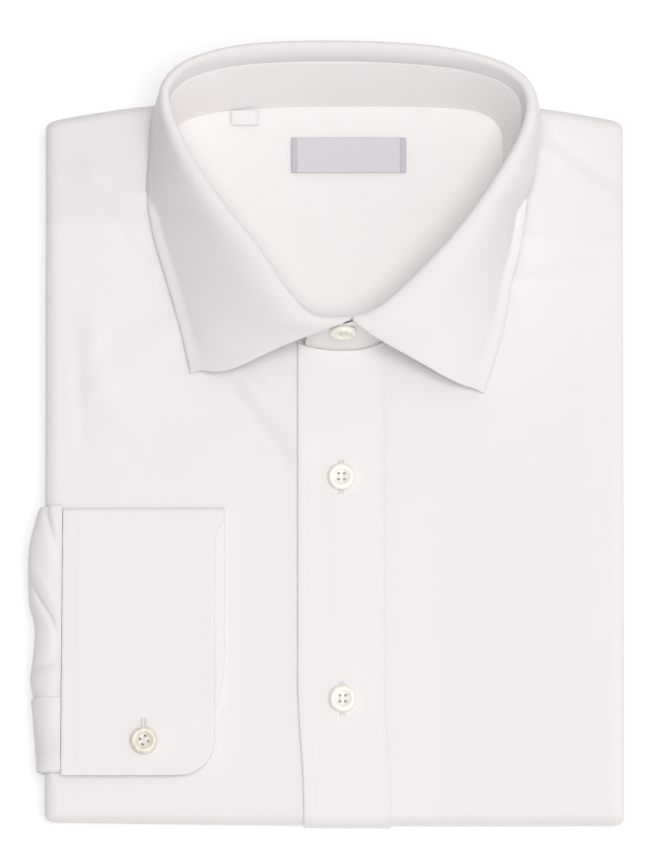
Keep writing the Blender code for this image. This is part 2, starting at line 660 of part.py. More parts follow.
def build_collar_stand():
    """Upright band whose right end passes inside the left one at the throat."""
    base, fold, outward = collar_lines(-STAND_RIGHT_END, STAND_LEFT_END)
    distance = path_distance(base)
    from_throat = np.minimum(np.abs(distance - STAND_RIGHT_END),
                             np.abs(distance[-1] - STAND_LEFT_END - distance))
    end_distance = np.minimum(distance, distance[-1] - distance)
    end_share = np.clip(end_distance / STAND_END_ROUND, 0.0, 1.0)
    curve = np.sqrt(1.0 - (1.0 - end_share) ** 2)
    rounded = STAND_END_HEIGHT + (1.0 - STAND_END_HEIGHT) * curve
    past_leaf = distance - (distance[-1] - STAND_LEFT_END - LEAF_LEFT_END)
    top_share = stand_share(from_throat)
    top_share = top_share - STAND_END_DROP * smooth_step(past_leaf / STAND_DROP_RUN)
    top_share = top_share * rounded
    rows = []
    for share in np.linspace(0.0, 1.0, 4):
        height = share * top_share
        inset = overlap_shift(distance) + stand_curl(height)
        rows.append(base + height[:, None] * (fold - base) - inset[:, None] * outward)
    stand = add_piece("collar_stand", sheet_mesh("collar_stand", np.array(rows)), WHITE_POPLIN)
    thicken(stand, COLLAR_CLOTH)


def build_collar_leaf():
    """Turned-down leaf: a short inner leg, the rolled fold and the outer fall with its points."""
    base, fold, outward = collar_lines(LEAF_RIGHT_END, -LEAF_LEFT_END)
    edge = smooth_path(np.array(LEAF_EDGE) * MM, COLLAR_SECTIONS)
    distance = path_distance(base)
    shift = overlap_shift(distance + STAND_RIGHT_END + LEAF_RIGHT_END)
    half_width = FOLD_RADIUS * outward
    up = np.array([0.0, 0.0, FOLD_RADIUS])
    centre = fold - up
    inner_turn, outer_turn = centre - half_width, centre + half_width
    from_throat = np.minimum(distance, distance[-1] - distance)
    seam_share = stand_share(from_throat)
    seam_inset = shift + stand_curl(seam_share)
    seam = base + seam_share[:, None] * (fold - base) - seam_inset[:, None] * outward
    rise = inner_turn - seam
    seam = seam + LEAF_SEAM_GAP * rise / np.linalg.norm(rise, axis=1)[:, None]
    slant = math.sqrt(0.5)
    rows = [seam, 0.5 * (seam + inner_turn), inner_turn,
            centre - slant * half_width + slant * up, centre + up,
            centre + slant * half_width + slant * up, outer_turn]
    front = 1.0 - smooth_step(from_throat / STAND_SHARE_RUN)
    skew = 1.0 + LEAF_BELLY_SKEW + (LEAF_FRONT_SKEW - LEAF_BELLY_SKEW) * front
    for share in np.linspace(0.0, 1.0, LEAF_ROWS + 1)[1:]:
        belly = (edge[:, 3] * np.sin(math.pi * share ** skew))[:, None]
        rows.append(outer_turn + share * (edge[:, :3] - outer_turn) + belly * outward)
    leaf = add_piece("collar_leaf", sheet_mesh("collar_leaf", np.array(rows)), WHITE_POPLIN)
    thicken(leaf, COLLAR_CLOTH)


def cuff_route():
    """Middle line of the flattened cuff as rows of y, level and the right edge's x.

    It starts at the under end, turns up the lower fold, runs under and over to the rounded end.
    """
    low = FRONT_LEVEL + GAP + COLLAR_CLOTH / 2.0
    inner = low + CUFF_PITCH
    high = inner + CUFF_PITCH
    top_radius = 0.5 * (CUFF_PITCH + 0.5 * MM)
    fold_low_y = CUFF_END_Y + CUFF_INNER_RISE
    rows = [(CUFF_END_Y + CUFF_OVERLAP - share * (CUFF_OVERLAP - CUFF_INNER_RISE - MM), inner)
            for share in np.linspace(0.0, 1.0, 4)]
    for angle in np.linspace(90.0, 270.0, 7)[1:-1]:
        turn = math.radians(angle)
        rows.append((fold_low_y + 0.5 * CUFF_PITCH * math.cos(turn),
                     low + 0.5 * CUFF_PITCH * (1.0 + math.sin(turn))))
    rows += [(y, low) for y in np.linspace(fold_low_y, CUFF_FOLD_Y - top_radius, 10)]
    for angle in np.linspace(-90.0, 90.0, 7)[1:-1]:
        turn = math.radians(angle)
        rows.append((CUFF_FOLD_Y - top_radius + top_radius * math.cos(turn),
                     low + top_radius * (1.0 + math.sin(turn))))
    start, end = CUFF_FOLD_Y - top_radius, CUFF_END_Y
    shares = np.concatenate([np.linspace(0.0, 0.86, CUFF_UPPER_ROWS - 5),
                             [0.9, 0.94, 0.97, 0.99, 1.0]])
    for share in shares:
        climb = smooth_step((share - 0.35) / 0.4)
        level = low + 2.0 * top_radius + climb * (high - low - 2.0 * top_radius)
        rows.append((start + share * (end - start), level))
    return np.array(rows)


def cuff_right_edge(route):
    """x of the cuff's open edge: the upper layer ends short of the lower one, its corner round."""
    from_fold = CUFF_FOLD_Y - route[:, 0]
    upper_share = smooth_step(from_fold / CUFF_STEP_RUN)
    upper = CUFF_LOWER_RIGHT_X + upper_share * (CUFF_UPPER_RIGHT_X - CUFF_LOWER_RIGHT_X)
    from_end = np.clip(route[:, 0] - CUFF_END_Y, 0.0, CUFF_CORNER)
    upper += np.sqrt(CUFF_CORNER ** 2 - (CUFF_CORNER - from_end) ** 2) - CUFF_CORNER
    lower_share = smooth_step((from_fold - CUFF_SLANT_START) / CUFF_SLANT_RUN)
    lower = CUFF_LOWER_RIGHT_X + lower_share * (CUFF_LOWER_END_X - CUFF_LOWER_RIGHT_X)
    is_upper = np.arange(len(route)) >= len(route) - CUFF_UPPER_ROWS
    return np.where(is_upper, upper, lower)


def build_cuff():
    route = cuff_route()
    right = cuff_right_edge(route)
    shares = np.linspace(0.0, 1.0, 6)
    x = CUFF_LEFT_X + shares[:, None] * (right - CUFF_LEFT_X)[None, :]
    y = np.broadcast_to(route[:, 0], x.shape)
    level = np.broadcast_to(route[:, 1], x.shape)
    points = drape(x, y, level)
    points[:, :, 0] = x
    cuff = add_piece("cuff_right", sheet_mesh("cuff_right", points), WHITE_POPLIN)
    thicken(cuff, COLLAR_CLOTH)


def sleeve_puff(y, reach, z):
    """Fullness of the sleeve's end between its creases, none at the cuff or at the outer edge."""
    total = np.zeros(len(reach))
    for y_cuff, y_side, half_width, height in np.array(SLEEVE_PUFFS) * MM:
        middle = y_cuff + reach * (y_side - y_cuff)
        total += height * np.exp(-((y - middle) / half_width) ** 2)
    return total * smooth_step(reach / 0.4) * smooth_step((z - 13.0 * MM) / (6.0 * MM))


def sleeve_points(y, offset):
    """Points of the sleeve's section at y, moved out of its middle surface by offset."""
    edge = np.array(SLEEVE_EDGE) * MM
    order = np.argsort(edge[:, 0])
    outer_x = np.interp(y, edge[order, 0], edge[order, 1]) + SLEEVE_CLOTH / 2.0
    start_x = CUFF_LEFT_X - SLEEVE_CLEARANCE
    section = np.array(SLEEVE_SECTION)
    x = start_x + section[:, 0] * (outer_x - start_x)
    z = section[:, 1] * MM
    tangent = np.column_stack([np.gradient(x), np.gradient(z)])
    tangent /= np.linalg.norm(tangent, axis=1)[:, None]
    normal = np.column_stack([tangent[:, 1], -tangent[:, 0]])
    offset = offset + sleeve_puff(y, section[:, 0], z)
    return np.column_stack([
        x + offset * normal[:, 0], np.full(len(x), y), z + offset * normal[:, 1]])


def sleeve_slab(name, stations, inner_offset, outer_offset, first=0, last=None):
    outer = np.array([sleeve_points(y, outer_offset)[first:last] for y in stations])
    inner = np.array([sleeve_points(y, inner_offset)[first:last] for y in stations])
    return add_piece(name, slab_mesh(name, outer, inner), WHITE_POPLIN)


def build_sleeve():
    """End of the right sleeve, flattened, coming from behind round the body's side to the cuff."""
    half = SLEEVE_CLOTH / 2.0
    stations = spread((SLEEVE_TOP_Y, SLEEVE_BOTTOM_Y, 22))
    sleeve_slab("sleeve_right", stations, -half, half)
    over = spread((SLEEVE_PLACKET_TOP_Y, SLEEVE_BOTTOM_Y + SLEEVE_PLACKET_INSET, 6))
    sleeve_slab("sleeve_placket", over, half + GAP, half + GAP + CLOTH, 0, -1)


def button_mesh(name):
    """Turned profile of a shell button: a flat back, thick rim and dished middle."""
    radius, thick = BUTTON_RADIUS, BUTTON_THICKNESS
    profile = [
        (0.0, 0.70 * thick), (0.45 * radius, 0.70 * thick), (0.62 * radius, 0.97 * thick),
        (0.80 * radius, thick), (0.95 * radius, 0.80 * thick), (radius, 0.50 * thick),
        (0.90 * radius, 0.12 * thick), (0.70 * radius, 0.0), (0.0, 0.0),
    ]
    mesh = bpy.data.meshes.new(name)
    edges = [(index, index + 1) for index in range(len(profile) - 1)]
    mesh.from_pydata([(r, 0.0, z) for r, z in profile], edges, [])
    return mesh


def button_holes_mesh(name):
    """Four round cutters for the thread."""
    shape = bmesh.new()
    offset = BUTTON_HOLE_SPACING / 2.0
    for side_x in (-offset, offset):
        for side_y in (-offset, offset):
            bmesh.ops.create_cone(
                shape, cap_ends=True, segments=6, radius1=BUTTON_HOLE_RADIUS,
                radius2=BUTTON_HOLE_RADIUS, depth=3.0 * BUTTON_THICKNESS,
                matrix=Matrix.Translation((side_x, side_y, 0.0)))
    return bmesh_to_mesh(shape, name)


def build_button(name, place, tilt, spin):
    button = add_piece(name, button_mesh(name), BUTTON_SHELL)
    screw = button.modifiers.new("turned", "SCREW")
    screw.steps = 20
    screw.render_steps = 20
    screw.use_merge_vertices = True
    screw.merge_threshold = 0.00005
    holes = add_cutter(name + "_holes", button_holes_mesh(name + "_holes"))
    cut(button, holes)
    for item in (button, holes):
        item.location = place
        item.rotation_euler = (tilt, 0.0, spin)


def build_buttons():
    """Two buttons on the placket, one on the cuff and one on the collar stand."""
    for name, x, y in FRONT_BUTTONS:
        z = layer_height(x * MM, y * MM, PLACKET_LEVEL) + GAP
        build_button(name, (x * MM, y * MM, z), 0.0, FRONT_BUTTON_SPIN)
    cuff_top = cuff_route()[:, 1].max() + COLLAR_CLOTH / 2.0
    x, y = CUFF_BUTTON
    z = layer_height(x * MM, y * MM, cuff_top) + GAP
    build_button("button_cuff", (x * MM, y * MM, z), 0.0, CUFF_BUTTON_SPIN)
    place = [length * MM for length in COLLAR_BUTTON]
    build_button("button_collar", place, COLLAR_BUTTON_TILT, 0.0)


def build_labels():
    """Woven neck label and the small size tag, both on the yoke lining."""
    for name, x0, x1, y0, y1, finish in LABELS:
        across = spread((x0 * MM, x1 * MM, 6))
        rows = [lambda x, y=y: y * MM + 0.0 * x for y in np.linspace(y0, y1, 4)]
        body_panel(name, across, rows, BACK_LEVEL + GAP + CLOTH, CLOTH, finish)


def build_shirt():
    clear_scene()
    new_collection(PIECE_COLLECTION)
    new_collection(CUTTER_COLLECTION)
    build_folded_layers()
    build_back_and_lining()
    neck_cutter = build_neck_cutter()
    for panel in build_fronts() + [build_placket(), build_yoke()]:
        cut(panel, neck_cutter)
    build_collar_stand()
    build_collar_leaf()
    build_cuff()
    build_sleeve()
    build_buttons()
    build_labels()


build_shirt()
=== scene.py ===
import math

import bmesh
import bpy
import numpy as np
from mathutils import Matrix, Vector


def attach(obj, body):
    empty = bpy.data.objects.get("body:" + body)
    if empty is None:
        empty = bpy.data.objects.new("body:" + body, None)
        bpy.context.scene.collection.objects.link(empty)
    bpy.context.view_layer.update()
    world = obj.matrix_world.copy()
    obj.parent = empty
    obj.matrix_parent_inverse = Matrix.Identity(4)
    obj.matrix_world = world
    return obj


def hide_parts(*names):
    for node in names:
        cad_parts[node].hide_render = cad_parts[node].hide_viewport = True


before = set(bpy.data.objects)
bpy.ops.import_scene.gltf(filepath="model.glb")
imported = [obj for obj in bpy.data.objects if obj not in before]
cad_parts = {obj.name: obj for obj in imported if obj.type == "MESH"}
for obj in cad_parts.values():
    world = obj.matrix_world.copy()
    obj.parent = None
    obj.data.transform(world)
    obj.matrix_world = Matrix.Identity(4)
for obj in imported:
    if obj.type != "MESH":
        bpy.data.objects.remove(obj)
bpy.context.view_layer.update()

# ----------------------------------------
# Camera.  It hangs over the table and looks down on the shirt from ten degrees off the
# vertical, on the hem's side, through a long lens.
MM = 0.001
CAMERA_TILT = math.radians(10)
CAMERA_DISTANCE = 2531.67 * MM
CAMERA_AIM = Vector((-3.78, 15.35, 20.0)) * MM


def in_scene(name, data):
    """Object of the given data, linked to the scene."""
    made = bpy.data.objects.new(name, data)
    bpy.context.scene.collection.objects.link(made)
    return made


camera_data = bpy.data.cameras.new("overhead_camera")
camera_data.lens = 250.0
camera_data.sensor_width = 36.0
camera_data.clip_end = 10.0
camera = in_scene("overhead_camera", camera_data)
camera.location = CAMERA_AIM + CAMERA_DISTANCE * Vector(
    (0.0, -math.sin(CAMERA_TILT), math.cos(CAMERA_TILT)))
camera.rotation_euler = (CAMERA_TILT, 0.0, 0.0)
bpy.context.scene.camera = camera

# ----------------------------------------
# Table and light.  A plain white table top in a white room that is brighter on one side, with
# one large soft lamp overhead, a little to that side.
TABLE_HALF = 3.0
TABLE_DROP = 0.1 * MM
TABLE_GLOW = 0.42
ROOM_LIGHT = 0.52
ROOM_SLANT = (0.05, -0.08, 0.0)
ROOM_SHADE, ROOM_SHADE_START = 1.1, 0.50
ROOM_SEEN = 0.92
LAMP_SIZE, LAMP_POWER = 1.6, 49.5
LAMP_PLACE = Vector((0.30, -0.24, 2.9))


def wire(tree, node, inputs):
    """Give a node's inputs, by name or number, another node's socket or a plain value."""
    for key, value in dict(inputs).items():
        socket = node.inputs[key]
        if isinstance(value, bpy.types.NodeSocket):
            tree.links.new(value, socket)
        else:
            socket.default_value = (*value, 1.0) if socket.type == "RGBA" else value


def add(tree, kind, inputs=(), **settings):
    """New shader node with its settings and inputs."""
    node = tree.nodes.new("ShaderNode" + kind)
    for key, value in settings.items():
        setattr(node, key, value)
    wire(tree, node, inputs)
    return node


def maths(tree, operation, *sources):
    return add(tree, "Math", enumerate(sources), operation=operation).outputs["Value"]


def blend(tree, factor, first, second):
    """Colour between two colours."""
    return add(tree, "Mix", {"Factor": factor, "A": first, "B": second},
               data_type="RGBA").outputs["Result"]


def new_material(name):
    """Material with its node tree and its Principled shader."""
    material = bpy.data.materials.new(name)
    material.use_nodes = True
    return material, material.node_tree, material.node_tree.nodes["Principled BSDF"]


def mesh_piece(name, points, faces, material=None, place=None, sharp=None):
    """Smooth mesh whose faces point outward, in the scene.

    place holds the place of each point on the flat cloth, and sharp is the angle in degrees
    from which an edge stays sharp.
    """
    mesh = bpy.data.meshes.new(name)
    mesh.from_pydata(np.asarray(points).tolist(), [], faces)
    if place is not None:
        corners = np.empty(len(mesh.loops), dtype=np.int32)
        mesh.loops.foreach_get("vertex_index", corners)
        mesh.uv_layers.new(name="cloth").uv.foreach_set(
            "vector", place[corners].astype(np.float32).ravel())
    shape = bmesh.new()
    shape.from_mesh(mesh)
    bmesh.ops.recalc_face_normals(shape, faces=shape.faces)
    shape.to_mesh(mesh)
    shape.free()
    mesh.shade_smooth()
    if sharp:
        mesh.set_sharp_from_angle(angle=math.radians(sharp))
    if material:
        mesh.materials.append(material)
    return in_scene(name, mesh)


bpy.context.scene.view_settings.view_transform = "Standard"
room = bpy.data.worlds.new("white_room")
bpy.context.scene.world = room
room.use_nodes = True
tree = room.node_tree
direction = add(tree, "TexCoord").outputs["Generated"]
slant = add(tree, "VectorMath", {0: direction, 1: ROOM_SLANT}, operation="DOT_PRODUCT")
leftward = maths(
    tree, "MULTIPLY", add(tree, "SeparateXYZ", {"Vector": direction}).outputs["X"], -1.0)
shaded = maths(tree, "MAXIMUM", maths(tree, "SUBTRACT", leftward, ROOM_SHADE_START), 0.0)
strength = maths(tree, "SUBTRACT", maths(tree, "ADD", slant.outputs["Value"], ROOM_LIGHT),
                 maths(tree, "MULTIPLY", shaded, ROOM_SHADE))
seen = add(tree, "Mix", {"Factor": add(tree, "LightPath").outputs["Is Camera Ray"],
                         "A": maths(tree, "MAXIMUM", strength, 0.0), "B": ROOM_SEEN})
wire(tree, tree.nodes["Background"],
     {"Color": (1.0, 0.995, 0.995), "Strength": seen.outputs["Result"]})

lamp_data = bpy.data.lights.new("soft_lamp", "AREA")
lamp_data.size = LAMP_SIZE
lamp_data.energy = LAMP_POWER
lamp = in_scene("soft_lamp", lamp_data)
lamp.location = LAMP_PLACE
lamp.rotation_euler = LAMP_PLACE.to_track_quat("Z", "Y").to_euler()

table_paint, tree, shader = new_material("white_table_paint")
grain = add(tree, "TexNoise", {"Scale": 40.0}).outputs["Fac"]
wire(tree, shader, {
    "Base Color": blend(tree, grain, (0.62, 0.62, 0.62), (0.65, 0.65, 0.65)), "Roughness": 0.9,
    "Emission Color": (1.0, 1.0, 1.0), "Emission Strength": TABLE_GLOW})
mesh_piece("table_top", [
    (x * TABLE_HALF, y * TABLE_HALF, -TABLE_DROP)
    for x, y in ((-1, -1), (1, -1), (1, 1), (-1, 1))], [(0, 1, 2, 3)], table_paint)

# ----------------------------------------
# Back.  The body's back panel is white cotton poplin, gathered into the yoke by its top seam.
# Its inner face shows through the neck opening, where it lies smooth under the fronts.
GAP, CLOTH = 0.3 * MM, 1.0 * MM
BODY_HALF_WIDTH, BODY_LENGTH = 120.7 * MM, 310.0 * MM
BODY_SPREAD = 0.016
STACK_TOP = 18.0 * MM
DOME_RISE = 1.2 * MM
SIDE_FOLD_WIDE, SIDE_FOLD_HIGH = 5.0 * MM, 4.5 * MM
SIDE_FOLD_TURN = math.radians(150)
END_FOLD_FLATNESS = 0.56
END_FOLD_TURN = math.radians(174)
HEM_EDGE_Y, HEM_SLOPE, HEM_BOW = -147.9 * MM, -0.006, 0.7 * MM
SHOULDER_EDGE_Y, SHOULDER_DROP, SHOULDER_POWER = 162.4 * MM, 10.8 * MM, 2.4
LINING_SEAM_Y = 111.0 * MM
FRONT_LEVEL = STACK_TOP
BACK_LEVEL = FRONT_LEVEL - CLOTH - GAP
FLAT_HALF_WIDTH = BODY_HALF_WIDTH - SIDE_FOLD_WIDE
SIDE_FOLD_ARC = 0.5 * (SIDE_FOLD_WIDE + SIDE_FOLD_HIGH)
END_FOLD_ARC = 0.25 * STACK_TOP * (1.0 + END_FOLD_FLATNESS)
SIDE_REACH = FLAT_HALF_WIDTH + SIDE_FOLD_TURN * SIDE_FOLD_ARC
BACK_HALF = FLAT_HALF_WIDTH - 1.0 * MM
BACK_CUT = (2.0 * BACK_HALF, LINING_SEAM_Y - HEM_EDGE_Y - 7.0 * MM)
BACK_STEP = 2.2 * MM
FREE, SEAM, FLUSH = 0.3, 0.88, 1.0
EDGE_RADIUS = 0.9 * MM


def smooth_step(value):
    value = np.clip(value, 0.0, 1.0)
    return value * value * (3.0 - 2.0 * value)


def dome(x, y):
    """Extra height of the stack towards its middle."""
    across = np.clip(1.0 - (x / BODY_HALF_WIDTH) ** 2, 0.0, 1.0)
    along = np.clip(1.0 - (y / SHOULDER_EDGE_Y) ** 2, 0.0, 1.0)
    return DOME_RISE * across * along


def hem_start(x):
    """Where the cloth begins to turn over the hem's fold."""
    bow = HEM_BOW * (1.0 - (x / BODY_HALF_WIDTH) ** 2)
    return HEM_EDGE_Y + HEM_SLOPE * x - bow + END_FOLD_FLATNESS * STACK_TOP / 2.0


def shoulder_start(x):
    """Where the cloth begins to turn over the shoulder's fold."""
    slope = SHOULDER_DROP * (np.abs(x) / BODY_HALF_WIDTH) ** SHOULDER_POWER
    return SHOULDER_EDGE_Y - slope - END_FOLD_FLATNESS * STACK_TOP / 2.0


def widened(x, y):
    """Spread the folded body from its hem towards its shoulders."""
    return x * (1.0 + BODY_SPREAD * (y - HEM_EDGE_Y) / BODY_LENGTH)


def stacked(*coordinates):
    """One array of points or places from broadcast coordinates."""
    return np.stack(np.broadcast_arrays(*coordinates), axis=-1)


def drape(across, along, level, relief=0.0):
    """Lay points of the flat cloth on the folded body, at a layer's level plus its relief."""
    depth = STACK_TOP - level
    turn = np.clip(np.abs(across) - FLAT_HALF_WIDTH, 0.0, None) / SIDE_FOLD_ARC
    x = np.sign(across) * (np.minimum(np.abs(across), FLAT_HALF_WIDTH)
                           + (SIDE_FOLD_WIDE - depth) * np.sin(turn))
    height = STACK_TOP - SIDE_FOLD_HIGH + (SIDE_FOLD_HIGH - depth) * np.cos(turn)
    past_hem = np.clip(hem_start(x) - along, 0.0, None) / END_FOLD_ARC
    end_turn = past_hem + np.clip(along - shoulder_start(x), 0.0, None) / END_FOLD_ARC
    fullness = (dome(x, along) + relief) * np.clip(np.cos(turn), 0.0, 1.0)
    axis = STACK_TOP / 2.0
    radius = height - axis + fullness * np.clip(np.cos(end_turn), 0.0, 1.0)
    y = (np.clip(along, hem_start(x), shoulder_start(x)) + END_FOLD_FLATNESS * radius
         * np.sin(end_turn) * np.where(past_hem > 0.0, -1.0, 1.0))
    return stacked(widened(x, y), y, axis + radius * np.cos(end_turn))


def layer_height(x, y, level):
    """Height of a layer's outer face over a place between the side folds."""
    radius = level - STACK_TOP / 2.0
    past_shoulder = np.clip(y - shoulder_start(x), 0.0, None) / (END_FOLD_FLATNESS * radius)
    turned = np.sqrt(1.0 - np.clip(past_shoulder, 0.0, 0.99) ** 2)
    return STACK_TOP / 2.0 + (radius + dome(x, y)) * turned


def creased(lines):
    """Relief of listed soft ridges and troughs, as a function of the flat cloth.

    A line is x and y of both ends, half width, height and sideways bow, in millimetres.
    """
    def relief(x, y):
        total = np.zeros(np.broadcast(x, y).shape)
        for x_a, y_a, x_b, y_b, half_width, height, bow in np.array(lines) * MM:
            run_x, run_y = x_b - x_a, y_b - y_a
            length = math.hypot(run_x, run_y)
            along = ((x - x_a) * run_x + (y - y_a) * run_y) / length
            share = np.clip(along / length, 0.0, 1.0)
            across = ((x - x_a) * run_y - (y - y_a) * run_x) / length - bow * (
                np.sin(math.pi * share) + 0.35 * np.sin(3.0 * math.pi * share))
            beyond = np.clip(np.maximum(-along, along - length), 0.0, None)
            width = half_width * (0.75 + 0.5 * share)
            uneven = 0.88 + 0.12 * np.cos(2.0 * math.pi * (1.2 * share + x_a / (17.0 * MM)))
            total += height * uneven * np.exp(
                -(across / width) ** 2 - (beyond / (1.6 * half_width)) ** 2)
        return total
    return relief


def edge_stations(first, last, step):
    """Stations from first to last, close together near the ends, which are rounded."""
    stations = np.linspace(first, last, max(int(round(abs(last - first) / step)), 2) + 1)
    near = np.array([0.15, 0.45, 0.9]) * MM * np.sign(last - first)
    stations = np.sort(np.concatenate([stations, first + near, last - near]))
    return stations if last > first else stations[::-1]


def rounding(distance, radius=EDGE_RADIUS, kept=FREE):
    """Share of its half thickness that cloth has near an edge; kept is that at the edge."""
    share = np.clip(distance / radius, 0.0, 1.0)
    return kept + (1.0 - kept) * np.sqrt(1.0 - (1.0 - share) ** 2)


def cloth_piece(name, outer, inner, place, material):
    """Closed wall between two grids of points, mapped by the cloth's own flat coordinates."""
    count = outer.shape[0] * outer.shape[1]
    index = np.arange(count).reshape(outer.shape[:2])
    quads = np.stack([index[:-1, :-1], index[:-1, 1:], index[1:, 1:], index[1:, :-1]],
                     axis=-1).reshape(-1, 4)
    rim = np.concatenate([index[0, :], index[1:, -1], index[-1, -2::-1], index[-2:0:-1, 0]])
    following = np.roll(rim, -1)
    sides = np.stack([following, rim, rim + count, following + count], axis=-1)
    return mesh_piece(
        name, np.concatenate([outer.reshape(-1, 3), inner.reshape(-1, 3)]),
        np.concatenate([quads, quads[:, ::-1] + count, sides]).tolist(), material,
        np.tile(place.reshape(-1, 2), (2, 1)), 60)


def laid_panel(name, ends, lines, steps, level, material, relief, sway=None, kept=(FREE,) * 4,
               thickness=CLOTH):
    """Panel of cloth laid on the folded body.

    ends are its first and last place across, and lines its lower and upper line, each a
    number or a function of the place across.  kept says how the first and last column and
    the first and last row end.
    """
    def between(x):
        lower, upper = (line(x) if callable(line) else line for line in lines)
        return lower, upper - lower

    across = edge_stations(*ends, steps[0])
    middle_run = abs(float(between(0.0)[1]))
    lower, run = between(across)
    across, along = np.broadcast_arrays(
        across, lower + edge_stations(0.0, middle_run, steps[1])[:, None] / middle_run * run)
    full = np.ones(along.shape)
    for share, reach in zip(kept, (across - across[:, :1], across[:, -1:] - across,
                                   along - along[:1], along[-1:] - along)):
        full = np.minimum(full, rounding(np.abs(reach), kept=share))
    half = 0.5 * thickness * full
    place = np.stack([across, along], axis=-1)
    if sway:
        across = across + sway(across, along)
    lift = relief(across, along)
    middle = level - thickness / 2.0
    return cloth_piece(name, drape(across, along, middle + half, lift),
                       drape(across, along, middle - half, lift), place, material)


# The weave is a plain one: fine warp and weft threads go over and under each other in turn.
# Some threads are a little thicker, and pressing leaves the cloth a little uneven.
POPLIN_THREAD_GAP = 0.28 * MM


def noise(tree, place, scale, detail):
    return add(tree, "TexNoise",
               {"Vector": place, "Scale": scale, "Detail": detail}).outputs["Fac"]


def bump(tree, height, depth, **more):
    """Normal of a surface whose relief has the given depth."""
    return add(tree, "Bump", {"Height": height, "Distance": depth, **more}).outputs["Normal"]


def gloss(tree, value, low, high):
    """Roughness between two limits."""
    return add(tree, "MapRange",
               {"Value": value, "To Min": low, "To Max": high}).outputs["Result"]


weave_group = tree = bpy.data.node_groups.new("poplin_weave", "ShaderNodeTree")
for name, way, kind in (
        ("Cloth Place", "INPUT", "Vector"), ("Thread Gap", "INPUT", "Float"),
        ("Weave Height", "OUTPUT", "Float"), ("Thick Threads", "OUTPUT", "Float"),
        ("Press Marks", "OUTPUT", "Float")):
    tree.interface.new_socket(name, in_out=way, socket_type="NodeSocket" + kind)
group_in = tree.nodes.new("NodeGroupInput").outputs
split = add(tree, "SeparateXYZ", {"Vector": group_in["Cloth Place"]}).outputs
waves = [maths(tree, "SINE", maths(tree, "MULTIPLY", maths(
    tree, "DIVIDE", split[axis], group_in["Thread Gap"]), math.pi)) for axis in "XY"]
streaks = [noise(tree, add(tree, "VectorMath", {0: group_in["Cloth Place"], 1: stretch},
                           operation="MULTIPLY").outputs["Vector"], 1.0, 1.0)
           for stretch in ((2600.0, 60.0, 1.0), (60.0, 2600.0, 1.0))]
wire(tree, tree.nodes.new("NodeGroupOutput"), {
    "Weave Height": maths(tree, "MULTIPLY_ADD", maths(tree, "MULTIPLY", *waves), 0.5, 0.5),
    "Thick Threads": maths(tree, "MULTIPLY", maths(tree, "ADD", *streaks), 0.5),
    "Press Marks": noise(tree, group_in["Cloth Place"], 38.0, 2.0)})


def woven(tree, thread_gap):
    """Place on the flat cloth, and the outputs of the weave there."""
    place = add(tree, "UVMap", uv_map="cloth").outputs["UV"]
    return place, add(tree, "Group", {"Cloth Place": place, "Thread Gap": thread_gap},
                      node_tree=weave_group).outputs


def poplin(name, plain, worn, rough, weave_depth, press_depth):
    """Cotton poplin: colour, gloss and relief come from its weave and its pressing."""
    material, tree, shader = new_material(name)
    weave = woven(tree, POPLIN_THREAD_GAP)[1]
    threads = maths(tree, "ADD", weave["Weave Height"], weave["Thick Threads"])
    wire(tree, shader, {
        "Base Color": blend(tree, weave["Press Marks"], plain, worn),
        "Roughness": gloss(tree, weave["Thick Threads"], *rough),
        "Normal": bump(tree, weave["Press Marks"], press_depth * MM, Strength=0.5,
                       Normal=bump(tree, threads, weave_depth * MM, Strength=0.35)),
        "Sheen Weight": 0.12, "Sheen Roughness": 0.5, "Specular IOR Level": 0.3})
    return material


def dress(piece, node, flat):
    """Let a sewn piece stand for its node: hang it from the root and hide the node's part.

    flat, the cut that it was made from, is not used.
    """
    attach(piece, "root")
    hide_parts(node)


inner_poplin = poplin("inner_poplin", (0.852, 0.826, 0.816), (0.838, 0.811, 0.80),
                      (0.72, 0.88), 0.04, 0.25)
back_relief = creased([
    (-64, 99.6, 62, 99, 1.6, -0.22, 0.4), (-30, 97, 30, 97.5, 5, 0.25, 0.8),
    (-44, 106, 60, 105, 4, 0.20, 0.5), (-8, 104, -2, 62, 7, 0.35, 1),
    (22, 104, 14, 66, 8, 0.30, -1)])
back = laid_panel(
    "back_panel", (-BACK_HALF, BACK_HALF), (lambda x: hem_start(x) + 2.0 * MM, LINING_SEAM_Y),
    (BACK_STEP, BACK_STEP), BACK_LEVEL, inner_poplin, back_relief, kept=(FREE, FREE, FREE, SEAM))
dress(back, "back", BACK_CUT)

# ----------------------------------------
# Yoke lining.  The inner face of the double yoke is the same poplin.  The back is caught
# between it and the outer yoke by one row of fine stitches, just above the seam.
LINING_CUT = (2.0 * BACK_HALF, 48.0 * MM)
LINING_TURN = math.radians(32)
LINING_STITCH_RISE = 1.6 * MM
STITCH_PITCH, STITCH_LENGTH = 2.3 * MM, 1.75 * MM
THREAD_RADIUS = 0.09 * MM
THREAD_SIDES = 6
THREAD_RISE = (-1.0, 0.1, 0.3, 0.1, -1.0)
THREAD_SWELL = (0.6, 1.0, 1.0, 1.0, 0.6)

thread_material, tree, shader = new_material("cotton_thread")
twist = add(tree, "TexWave", {"Vector": add(tree, "TexCoord").outputs["Object"],
                              "Scale": 900.0, "Distortion": 2.0}).outputs["Fac"]
wire(tree, shader, {
    "Base Color": blend(tree, twist, (0.80, 0.785, 0.765), (0.88, 0.87, 0.85)),
    "Normal": bump(tree, twist, 0.03 * MM), "Roughness": 0.55})


def unit(vectors):
    return vectors / np.linalg.norm(vectors, axis=-1, keepdims=True)


def path_distance(path):
    return np.concatenate([[0.0], np.cumsum(np.linalg.norm(np.diff(path, axis=0), axis=1))])


